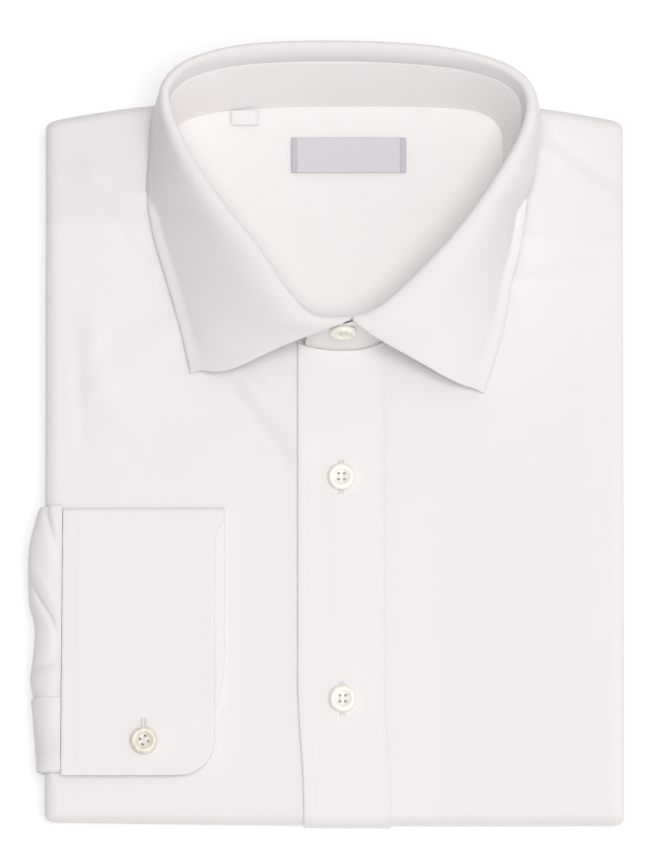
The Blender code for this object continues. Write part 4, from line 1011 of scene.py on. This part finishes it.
lower_line = [(margin_at(leaf_rim[:, column], LEAF_MARGIN), column)
              for column in range(leaf_rim.shape[1])]
lower_line = [(row, column) for row, column in lower_line if row and row > fall_first]
leaf_stitches = [grid_stitches(
    "leaf_stitches_edge", leaf_outer, leaf_inner, *np.array(lower_line).T)]
last_column = leaf_rim.shape[1] - 1
for side, columns in (("right", range(LEAF_SIDE_COLUMNS)[::-1]),
                      ("left", range(last_column + 1 - LEAF_SIDE_COLUMNS, last_column + 1))):
    side_line = [(row, margin_at(leaf_rim[row, columns], LEAF_MARGIN))
                 for row in range(fall_first + 3, len(leaf_rim))]
    rows, found = np.array([place for place in side_line if place[1] is not None]).T
    leaf_stitches.append(grid_stitches(
        "leaf_stitches_" + side, leaf_outer, leaf_inner, rows,
        columns[0] + found * (columns[1] - columns[0])))
dress(leaf, "collar_leaf", LEAF_CUT)

# ----------------------------------------
# Sleeve.  The lower end of the right sleeve comes from behind round the body's side, two
# layers of poplin pressed together, and is pleated into the cuff.  Its folds open towards
# the side.
CUFF_LEFT_X = -113.8 * MM
SLEEVE_CLOTH = 1.4 * MM
SLEEVE_GIRTH = 31.0 * MM
SLEEVE_TOP_Y, SLEEVE_BOTTOM_Y = -15.0 * MM, -127.5 * MM
SLEEVE_STEP = 0.8 * MM
SLEEVE_RISE, SLEEVE_RISE_RUN = 0.5, 9.0 * MM
PUFF_REACH, PUFF_LOW, PUFF_RUN = 0.4, 11.0 * MM, 7.0 * MM
SLEEVE_EDGE = np.array([
    (-15, -124.2), (-21, -126), (-30, -128), (-38, -128.7), (-46, -128.6), (-55, -128.2),
    (-59, -127.3), (-64, -126), (-72, -125.6), (-80, -126.6), (-88, -127.4), (-96, -126),
    (-111, -124.6), (-127.5, -123.2)]) * MM
SLEEVE_SECTION = np.array([
    (0, 20.6), (0.25, 20.5), (0.5, 19.9), (0.72, 18.4), (0.88, 16.1), (0.97, 13.2), (1, 10),
    (0.99, 6.5), (0.94, 3.3), (0.84, 1.25)])
SLEEVE_WIDTH = 10.0
SLEEVE_PUFFS = np.array([
    (-34, -30, 10, 1.2), (-74, -72, 8, 1.3), (-88, -92, 6, 0.4), (-74, -46.5, 2.3, -1.5),
    (-61, -38, 4, 0.7), (-38, -6, 3.6, -1.3), (-80, -84, 2.6, -0.9), (-101, -104, 5, 0.5),
    (-116, -118, 4, -0.4)]) * MM

sleeve_poplin = poplin("sleeve_poplin", (0.868, 0.838, 0.832), (0.852, 0.82, 0.814),
                       (0.70, 0.86), 0.04, 0.3)
sleeve_reach, sleeve_height = smooth_path(
    SLEEVE_SECTION * [SLEEVE_WIDTH, 1.0], np.linspace(0.0, 1.0, 44)).T
sleeve_reach, sleeve_height = sleeve_reach / SLEEVE_WIDTH, sleeve_height * MM
edge_y, edge_x = smooth_path(SLEEVE_EDGE, np.linspace(0.0, 1.0, 400))[::-1].T


def sleeve_puff(y):
    """Fullness of the sleeve's end between its creases, none at the cuff."""
    total = np.zeros(len(sleeve_reach))
    for y_cuff, y_side, half_width, height in SLEEVE_PUFFS:
        middle = y_cuff + sleeve_reach * (y_side - y_cuff)
        total += height * np.exp(-((y - middle) / half_width) ** 2)
    at_cuff = smooth_step(sleeve_reach / PUFF_REACH)
    return total * at_cuff * smooth_step((sleeve_height - PUFF_LOW) / PUFF_RUN)


def sleeve_points(y, offset):
    """Points of the sleeve's section at y, moved out of its middle surface by offset."""
    start_x = CUFF_LEFT_X - 0.2 * MM
    x = start_x + sleeve_reach * (np.interp(y, edge_y, edge_x) + SLEEVE_CLOTH / 2.0 - start_x)
    rise = SLEEVE_RISE * smooth_step((SLEEVE_BOTTOM_Y + SLEEVE_RISE_RUN - y) / SLEEVE_RISE_RUN)
    z = sleeve_height + rise * (sleeve_height[0] - sleeve_height)
    tangent_x, tangent_z = unit(np.column_stack([np.gradient(x), np.gradient(z)])).T
    moved = offset + sleeve_puff(y)
    return stacked(x + moved * tangent_z, y, z - moved * tangent_x)


def sleeve_wall(name, stations, low, high, last=None):
    """Wall of the sleeve between two offsets from its middle surface."""
    from_end = np.minimum(np.abs(stations - stations[0]), np.abs(stations - stations[-1]))
    half = 0.5 * (high - low) * rounding(from_end)
    middle = 0.5 * (high + low)
    outer, inner = (np.array([sleeve_points(y, middle + h)[:last] for y, h in zip(stations, out)])
                    for out in (half, -half))
    girth = path_distance(outer[0, :, ::2])
    return cloth_piece(name, outer, inner, stacked(girth, stations[:, None]), sleeve_poplin)


sleeve = sleeve_wall("right_sleeve_end",
                     edge_stations(SLEEVE_TOP_Y, SLEEVE_BOTTOM_Y, SLEEVE_STEP),
                     -SLEEVE_CLOTH / 2.0, SLEEVE_CLOTH / 2.0)
dress(sleeve, "sleeve_right", (SLEEVE_GIRTH, SLEEVE_TOP_Y - SLEEVE_BOTTOM_Y))

# ----------------------------------------
# Sleeve placket.  A narrow band of poplin that finishes the slit of the sleeve above the
# cuff, stitched round its edges.
SLEEVE_PLACKET_CUT = (27.0 * MM, 31.0 * MM)
SLIT_TOP_Y = -96.0 * MM
SLIT_LOW = SLEEVE_CLOTH / 2.0 + 0.15 * MM
SLIT_HIGH = SLIT_LOW + 0.9 * MM

sleeve_band = sleeve_wall(
    "sleeve_placket_band",
    edge_stations(SLIT_TOP_Y, SLEEVE_BOTTOM_Y + 0.5 * MM, SLEEVE_STEP), SLIT_LOW, SLIT_HIGH, 40)
band_outer, band_under = (np.array([
    sleeve_points(y, offset)
    for y in np.linspace(SLIT_TOP_Y - 1.2 * MM, SLEEVE_BOTTOM_Y + 2.0 * MM, 40)])
    for offset in (SLIT_HIGH, 0.0))
band_stitches = [
    grid_stitches("sleeve_placket_" + name, band_outer, band_under, rows, columns)
    for name, rows, columns in (("stitches", np.linspace(0.0, 39.0, 60), 9.0),
                                ("end_stitches", 0.1, np.linspace(9.0, 30.0, 30)))]
dress(sleeve_band, "sleeve_placket", SLEEVE_PLACKET_CUT)

# ----------------------------------------
# Cuff.  A stiff single-button barrel cuff, pressed flat on the front of the shirt.  Its
# rounded end laps over the other one, and a row of stitches runs round it inside its edge.
CUFF_WIDTH = 67.8 * MM
CUFF_UPPER_RIGHT_X, CUFF_LOWER_RIGHT_X, CUFF_LOWER_END_X = -50.2 * MM, -46.0 * MM, -53.6 * MM
CUFF_FOLD_Y, CUFF_END_Y = -17.0 * MM, -129.0 * MM
CUFF_OVERLAP, CUFF_INNER_RISE = 27.0 * MM, 8.0 * MM
CUFF_CORNER = 14.5 * MM
CUFF_PITCH = COLLAR_CLOTH + GAP
CUFF_TURN = 0.5 * (CUFF_PITCH + 0.5 * MM)
CUFF_MARGIN, CUFF_GROOVE = 5.5 * MM, 0.12 * MM
CUFF_LOW = FRONT_LEVEL + GAP + COLLAR_CLOTH / 2.0
CUFF_HIGH = CUFF_LOW + 2.0 * CUFF_PITCH
CUFF_CLIMB_START, CUFF_CLIMB_RUN = 0.35, 0.4
CUFF_UPPER_RUN, CUFF_LOWER_START, CUFF_LOWER_RUN = 14.0 * MM, 64.0 * MM, 42.0 * MM
CUFF_UPPER_ROWS = 74
CUFF_GRID_WIDTH = 66.0 * MM

cuff_poplin = poplin("cuff_poplin", (0.87, 0.84, 0.834), (0.858, 0.828, 0.821),
                     (0.64, 0.8), 0.03, 0.15)
cuff_relief = creased([
    (-78, -115.5, -58, -127, 5, -0.55, 0.5), (-79.5, -103, -79, -78, 9, -0.2, 0.5),
    (-100, -70, -62, -76, 14, 0.25, 1), (-104, -40, -66, -34, 12, 0.2, -1)])


def half_turn(y, radius, first, last, count):
    """Section of one of the cuff's turns, which stands on the level of its lowest layer."""
    angles = np.radians(np.linspace(first, last, count)[1:-1])
    return np.column_stack([y + radius * np.cos(angles),
                            CUFF_LOW + radius * (1.0 + np.sin(angles))])


inner_y, fold_y = CUFF_END_Y + CUFF_INNER_RISE, CUFF_FOLD_Y - CUFF_TURN
upper = edge_shares(CUFF_UPPER_ROWS - 3)
climb = smooth_step((upper - CUFF_CLIMB_START) / CUFF_CLIMB_RUN)
cuff_rows = np.vstack([
    stacked(np.linspace(CUFF_END_Y + CUFF_OVERLAP, inner_y + MM, 14), CUFF_LOW + CUFF_PITCH),
    half_turn(inner_y, 0.5 * CUFF_PITCH, 90.0, 270.0, 13),
    stacked(np.linspace(inner_y, fold_y, 40), CUFF_LOW),
    half_turn(fold_y, CUFF_TURN, -90.0, 90.0, 15),
    stacked(fold_y + upper * (CUFF_END_Y - fold_y),
            CUFF_LOW + 2.0 * CUFF_TURN + climb * (CUFF_HIGH - CUFF_LOW - 2.0 * CUFF_TURN))])
upper_first = len(cuff_rows) - CUFF_UPPER_ROWS
is_upper = np.arange(len(cuff_rows)) >= upper_first
from_fold = CUFF_FOLD_Y - cuff_rows[:, 0]
from_end = np.clip(cuff_rows[:, 0] - CUFF_END_Y, 0.0, CUFF_CORNER)
corner_cut = CUFF_CORNER - np.sqrt(CUFF_CORNER ** 2 - (CUFF_CORNER - from_end) ** 2)
cuff_right = CUFF_LOWER_RIGHT_X + np.where(
    is_upper,
    smooth_step(from_fold / CUFF_UPPER_RUN) * (CUFF_UPPER_RIGHT_X - CUFF_LOWER_RIGHT_X)
    - corner_cut,
    smooth_step((from_fold - CUFF_LOWER_START) / CUFF_LOWER_RUN)
    * (CUFF_LOWER_END_X - CUFF_LOWER_RIGHT_X))
cuff_columns = edge_stations(0.0, CUFF_GRID_WIDTH, 1.1 * MM) / CUFF_GRID_WIDTH
cuff_x = CUFF_LEFT_X + cuff_columns * (cuff_right - CUFF_LEFT_X)[:, None]
cuff_y = np.broadcast_to(cuff_rows[:, :1], cuff_x.shape)
cuff_middle = drape(cuff_x, cuff_y, cuff_rows[:, 1:],
                    cuff_relief(cuff_x, cuff_y) * is_upper[:, None])
cuff_middle[:, :, 0] = cuff_x
cuff_rim = np.minimum(cuff_x - CUFF_LEFT_X, cuff_right[:, None] - cuff_x)
cuff_rim[upper_first:] = rim_distances(
    cuff_middle[upper_first:, ::-1], 0, 0.4 * MM)[:, ::-1]
cuff_outer, cuff_inner, normal = thickened(
    cuff_middle, 0.5 * COLLAR_CLOTH * rounding(cuff_rim, 1.0 * MM), UP)
groove = CUFF_GROOVE * np.exp(-((cuff_rim - CUFF_MARGIN) / GROOVE_HALF) ** 2) * is_upper[:, None]
cuff_outer = cuff_outer - groove[..., None] * normal
cuff_run = path_distance(cuff_rows)
cuff = cloth_piece("right_cuff_band", cuff_outer, cuff_inner,
                   stacked(cuff_x, cuff_run[:, None]), cuff_poplin)
margin_line = [(row, margin_at(cuff_rim[row], CUFF_MARGIN))
               for row in range(upper_first + 4, len(cuff_rows))]
margin_line = [place for place in margin_line if place[1] is not None]
for column in np.linspace(margin_line[-1][1], 8.0, 30):
    values = np.array([np.interp(column, np.arange(len(line)), line) for line in cuff_rim])
    margin_line.append((margin_at(values, CUFF_MARGIN), column))
cuff_stitches = grid_stitches(
    "cuff_stitches", cuff_outer, cuff_inner, *np.array(margin_line).T)
dress(cuff, "cuff_right", (CUFF_WIDTH, float(cuff_run[-1])))

# ----------------------------------------
# Buttonholes.  Each is a slit bound with close bars of thread across both its lips.  The
# buttons hide most of them.
BUTTONHOLE_HALF, BUTTONHOLE_SLIT = 1.2 * MM, 0.18 * MM
BUTTONHOLE_PITCH = 0.34 * MM
BAR_RADIUS = 0.17 * MM
BAR_RISE = np.array([-0.4, 0.5, 0.5, -0.4])
CUFF_LEVEL = CUFF_HIGH + COLLAR_CLOTH / 2.0
FRONT_BUTTONS = (("front_1", 2.9 * MM, -3.1 * MM), ("front_2", 3.4 * MM, -96.8 * MM))
FRONT_BUTTONHOLE, CUFF_BUTTONHOLE = 14.0 * MM, 15.0 * MM
CUFF_BUTTON_X, CUFF_BUTTONHOLE_Y = -79.2 * MM, -112.6 * MM

bar_angles = np.linspace(0.0, 2.0 * math.pi, 5, endpoint=False)
bar_ring = BAR_RADIUS * stacked(
    0.0, np.cos(bar_angles), BAR_RISE[:, None] + np.sin(bar_angles))
buttonholes = [(name, x, y, PLACKET_LEVEL, FRONT_BUTTONHOLE, placket_relief)
               for name, x, y in FRONT_BUTTONS]
buttonholes.append(("cuff", CUFF_BUTTON_X, CUFF_BUTTONHOLE_Y, CUFF_LEVEL, CUFF_BUTTONHOLE,
                    cuff_relief))
for name, x, y, level, length, relief in buttonholes:
    ys = np.linspace(y - length / 2.0, y + length / 2.0, int(length / BUTTONHOLE_PITCH))
    bars_x = x + np.array([[-1.0], [1.0]]) * np.linspace(BUTTONHOLE_SLIT, BUTTONHOLE_HALF, 4)
    bars_x, bars_y = (grid.reshape(-1, 4) for grid in np.broadcast_arrays(
        bars_x[:, None], ys[:, None]))
    bars = drape(bars_x, bars_y, level, relief(bars_x, bars_y))
    threads("buttonhole_" + name, bars[:, :, None] + bar_ring)

# ----------------------------------------
# Buttons.  Four-hole buttons turned from mother of pearl, dished in the middle with a thick
# rim, and sewn on with doubled or crossed thread.
BUTTON_RADIUS, BUTTON_THICKNESS = 5.65 * MM, 2.6 * MM
BUTTON_HOLE_RADIUS, BUTTON_HOLE_OFFSET = 0.72 * MM, 1.15 * MM
BUTTON_PROFILE = [
    (0, 0.66), (0.30, 0.665), (0.42, 0.69), (0.50, 0.76), (0.57, 0.88), (0.64, 0.965),
    (0.72, 1), (0.82, 0.985), (0.90, 0.92), (0.96, 0.80), (0.99, 0.66), (1, 0.52),
    (0.985, 0.36), (0.95, 0.20), (0.89, 0.08), (0.80, 0), (0, 0)]
BUTTON_DISH = 0.66 * BUTTON_THICKNESS
SEWING_RADIUS, SEWING_SPACING = 0.17 * MM, 0.26 * MM
SEWING_SUNK, SEWING_ARCH, SEWING_CROSSING = 0.5 * MM, 0.62 * MM, 0.2 * MM
CUFF_BUTTON_Y, CUFF_BUTTON_SPIN = -114.7 * MM, 0.5
COLLAR_BUTTON_PLACE = (3.6 * MM, 56.7 * MM, 36.2 * MM)
COLLAR_BUTTON_TILT = math.radians(77)


def shell_material(name, pale, deep, gleam):
    """Mother of pearl: cloudy growth layers under a polished face, with pale patches of painted
    sheen.
    """
    material, tree, shader = new_material(name)
    place = add(tree, "TexCoord").outputs["Object"]
    growth = add(tree, "TexWave", {"Vector": place, "Scale": 90.0, "Distortion": 9.0,
                                   "Detail": 3.0}, wave_type="BANDS").outputs["Fac"]
    cloud = noise(tree, place, 320.0, 3.0)
    # The shine mask blends the colour towards gleam in cloudy patches: painted sheen.
    shine = add(tree, "MapRange", {"Value": cloud, "From Min": 0.45, "From Max": 0.75,
                                   "To Max": 0.6}).outputs["Result"]
    wire(tree, shader, {
        "Base Color": blend(tree, shine, blend(tree, growth, pale, deep), gleam),
        "Roughness": gloss(tree, cloud, 0.16, 0.34), "Normal": bump(tree, growth, 0.03 * MM),
        "Coat Weight": 0.4, "Coat Roughness": 0.12})
    return material


def turned_button(node, place, tilt, spin, material, crossed):
    """Button with its holes and the thread that holds it."""
    offset = BUTTON_HOLE_OFFSET
    name = "shell_" + node
    holes = bmesh.new()
    for x, y in ((-offset, -offset), (-offset, offset), (offset, -offset), (offset, offset)):
        bmesh.ops.create_cone(
            holes, cap_ends=True, segments=16, radius1=BUTTON_HOLE_RADIUS,
            radius2=BUTTON_HOLE_RADIUS, depth=3.0 * BUTTON_THICKNESS,
            matrix=Matrix.Translation((x, y, 0.0)))
    holes_mesh = bpy.data.meshes.new(name + "_holes")
    holes.to_mesh(holes_mesh)
    holes.free()
    cutter = in_scene(name + "_holes", holes_mesh)
    profile = bpy.data.meshes.new(name + "_profile")
    profile.from_pydata(
        [(r * BUTTON_RADIUS, 0.0, z * BUTTON_THICKNESS) for r, z in BUTTON_PROFILE],
        [(index, index + 1) for index in range(len(BUTTON_PROFILE) - 1)], [])
    blank = in_scene(name + "_blank", profile)
    screw = blank.modifiers.new("turned", "SCREW")
    screw.steps = screw.render_steps = 64
    screw.use_merge_vertices = True
    screw.merge_threshold = 0.02 * MM
    drill = blank.modifiers.new("drilled", "BOOLEAN")
    drill.object = cutter
    drill.solver = "EXACT"
    mesh = bpy.data.meshes.new_from_object(
        blank.evaluated_get(bpy.context.evaluated_depsgraph_get()))
    for spent in (cutter, blank):
        bpy.data.objects.remove(spent, do_unlink=True)
    turn = (Matrix.Translation(place) @ Matrix.Rotation(spin, 4, "Z")
            @ Matrix.Rotation(tilt, 4, "X"))
    mesh.transform(turn)
    mesh.name = name
    mesh.materials.clear()
    mesh.materials.append(material)
    mesh.shade_smooth()
    mesh.set_sharp_from_angle(angle=math.radians(38))
    button = in_scene(name, mesh)
    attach(button, "root")
    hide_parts(node)
    starts = [Vector((-offset, -offset, BUTTON_DISH)), Vector((offset, -offset, BUTTON_DISH))]
    runs = [Vector((0.0, 2.0 * offset, 0.0))] * 2
    if crossed:
        starts = [starts[0], starts[0] + runs[0]]
        runs = [Vector((2.0 * offset, 2.0 * offset, 0.0)),
                Vector((2.0 * offset, -2.0 * offset, 0.0))]
    up = Vector(UP)
    strands = []
    for layer, (start, run) in enumerate(zip(starts, runs)):
        beside = Vector((-run.y, run.x, 0.0)).normalized()
        top = SEWING_ARCH + SEWING_CROSSING * layer * crossed
        for strand in (-1.0, 0.0, 1.0):
            strands.append([[
                turn @ (start + run * share + beside * (strand * SEWING_SPACING)
                        + up * (top * math.sin(math.pi * share) ** 0.6 - SEWING_SUNK)
                        + SEWING_RADIUS * (math.cos(angle) * beside + math.sin(angle) * up))
                for angle in np.linspace(0.0, 2.0 * math.pi, 8, endpoint=False)]
                for share in np.linspace(0.0, 1.0, 9)])
    threads(name + "_thread", np.array(strands))


front_shell = shell_material("front_button_shell", (0.985, 0.955, 0.875), (0.95, 0.91, 0.80),
                             (0.95, 0.94, 0.92))
cuff_shell = shell_material("cuff_button_shell", (0.85, 0.785, 0.665), (0.74, 0.67, 0.56),
                            (0.90, 0.87, 0.80))
buttons = [("button_" + name, x, y, PLACKET_LEVEL, 0.0, front_shell, False)
           for name, x, y in FRONT_BUTTONS]
buttons.append(("button_cuff", CUFF_BUTTON_X, CUFF_BUTTON_Y, CUFF_LEVEL, CUFF_BUTTON_SPIN,
                cuff_shell, True))
for node, x, y, level, spin, shell, crossed in buttons:
    turned_button(node, (x, y, layer_height(x, y, level) + GAP), 0.0, spin, shell, crossed)
turned_button("button_collar", COLLAR_BUTTON_PLACE, COLLAR_BUTTON_TILT, 0.0, front_shell, True)

# ----------------------------------------
# Folded layers.  The rest of the back with its tail, the lower fronts, the left sleeve and
# the upper right sleeve lie folded inside.  Their soft edges show between the sides' folds.
CORE_LEVEL = BACK_LEVEL - CLOTH - GAP
CORE_FLAT_POINTS = 23
CORE_UNEVEN, CORE_WAVES = 0.25 * MM, 900.0
CORE_CLEARANCE = 0.8 * MM
CORE_SIDE = np.array([
    (1, 15.4), (2.5, 14.6), (3.1, 13.4), (2.7, 12), (1.7, 10.9), (1, 9.9), (1.6, 9.1),
    (3.6, 8.4), (4.6, 7), (4.3, 5.6), (3.1, 4.9), (4.1, 4.1), (4.4, 2.6), (3.7, 1), (2.4, 0)])
CORE_CLOSING = [(5, 0.30, 9), (4.7, 0.42, 8), (4.2, 0.55, 7), (3.5, 0.67, 6.2),
                (2.6, 0.76, 5.5), (1.7, 0.81, 5), (0.8, 0.84, 4.5)]

core_x, core_z = smooth_path(CORE_SIDE, np.linspace(0.0, 1.0, 70)).T * MM


def core_ring(y_of, height_scale=1.0, trim=0.0, phase=0.0):
    """One section of the hidden layers, its edges a little uneven from ring to ring."""
    uneven = CORE_UNEVEN * np.sin(phase + CORE_WAVES * core_z) * np.sin(
        math.pi * np.linspace(0.0, 1.0, len(core_z)))
    side_x = FLAT_HALF_WIDTH + core_x - trim + uneven - CORE_UNEVEN
    top_x, bottom_x = (np.linspace(-end, end, CORE_FLAT_POINTS + 2)[1:-1]
                       for end in (side_x[0], -side_x[-1]))
    flat = np.zeros(CORE_FLAT_POINTS)
    x = np.concatenate([top_x, side_x, bottom_x, -side_x[::-1]])
    z = np.concatenate([flat + CORE_LEVEL, core_z, flat, core_z[::-1]])
    z = np.clip(z, 0.0, CORE_LEVEL)
    y = y_of(x)
    z = z + dome(x, y) * smooth_step((z - 0.5 * CORE_LEVEL) / (0.5 * CORE_LEVEL))
    axis = STACK_TOP / 2.0
    return stacked(widened(x, y), y, axis + (z - axis) * height_scale)


core_rings = [core_ring(lambda x: hem_start(x) - (out - 1.0) * MM, scale, trim * MM)
              for out, scale, trim in CORE_CLOSING]
core_rings += [core_ring(
    lambda x: (1.0 - s) * (hem_start(x) + CORE_CLEARANCE)
    + s * (shoulder_start(x) - CORE_CLEARANCE),
    phase=5.0 * math.sin(4.0 * s) + 9.0 * s) for s in np.linspace(0.0, 1.0, 90)]
core_rings += [core_ring(lambda x: shoulder_start(x) + (out - 1.0) * MM, scale, trim * MM)
               for out, scale, trim in reversed(CORE_CLOSING)]
core_rings = np.array(core_rings)
core_girth = path_distance(core_rings[len(core_rings) // 2])
core = tubes("folded_cloth", core_rings[None], inner_poplin, sharp=50,
             place=stacked(core_girth, core_rings[:, :, 1]).reshape(-1, 2))
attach(core, "root")
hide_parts("folded_layers")
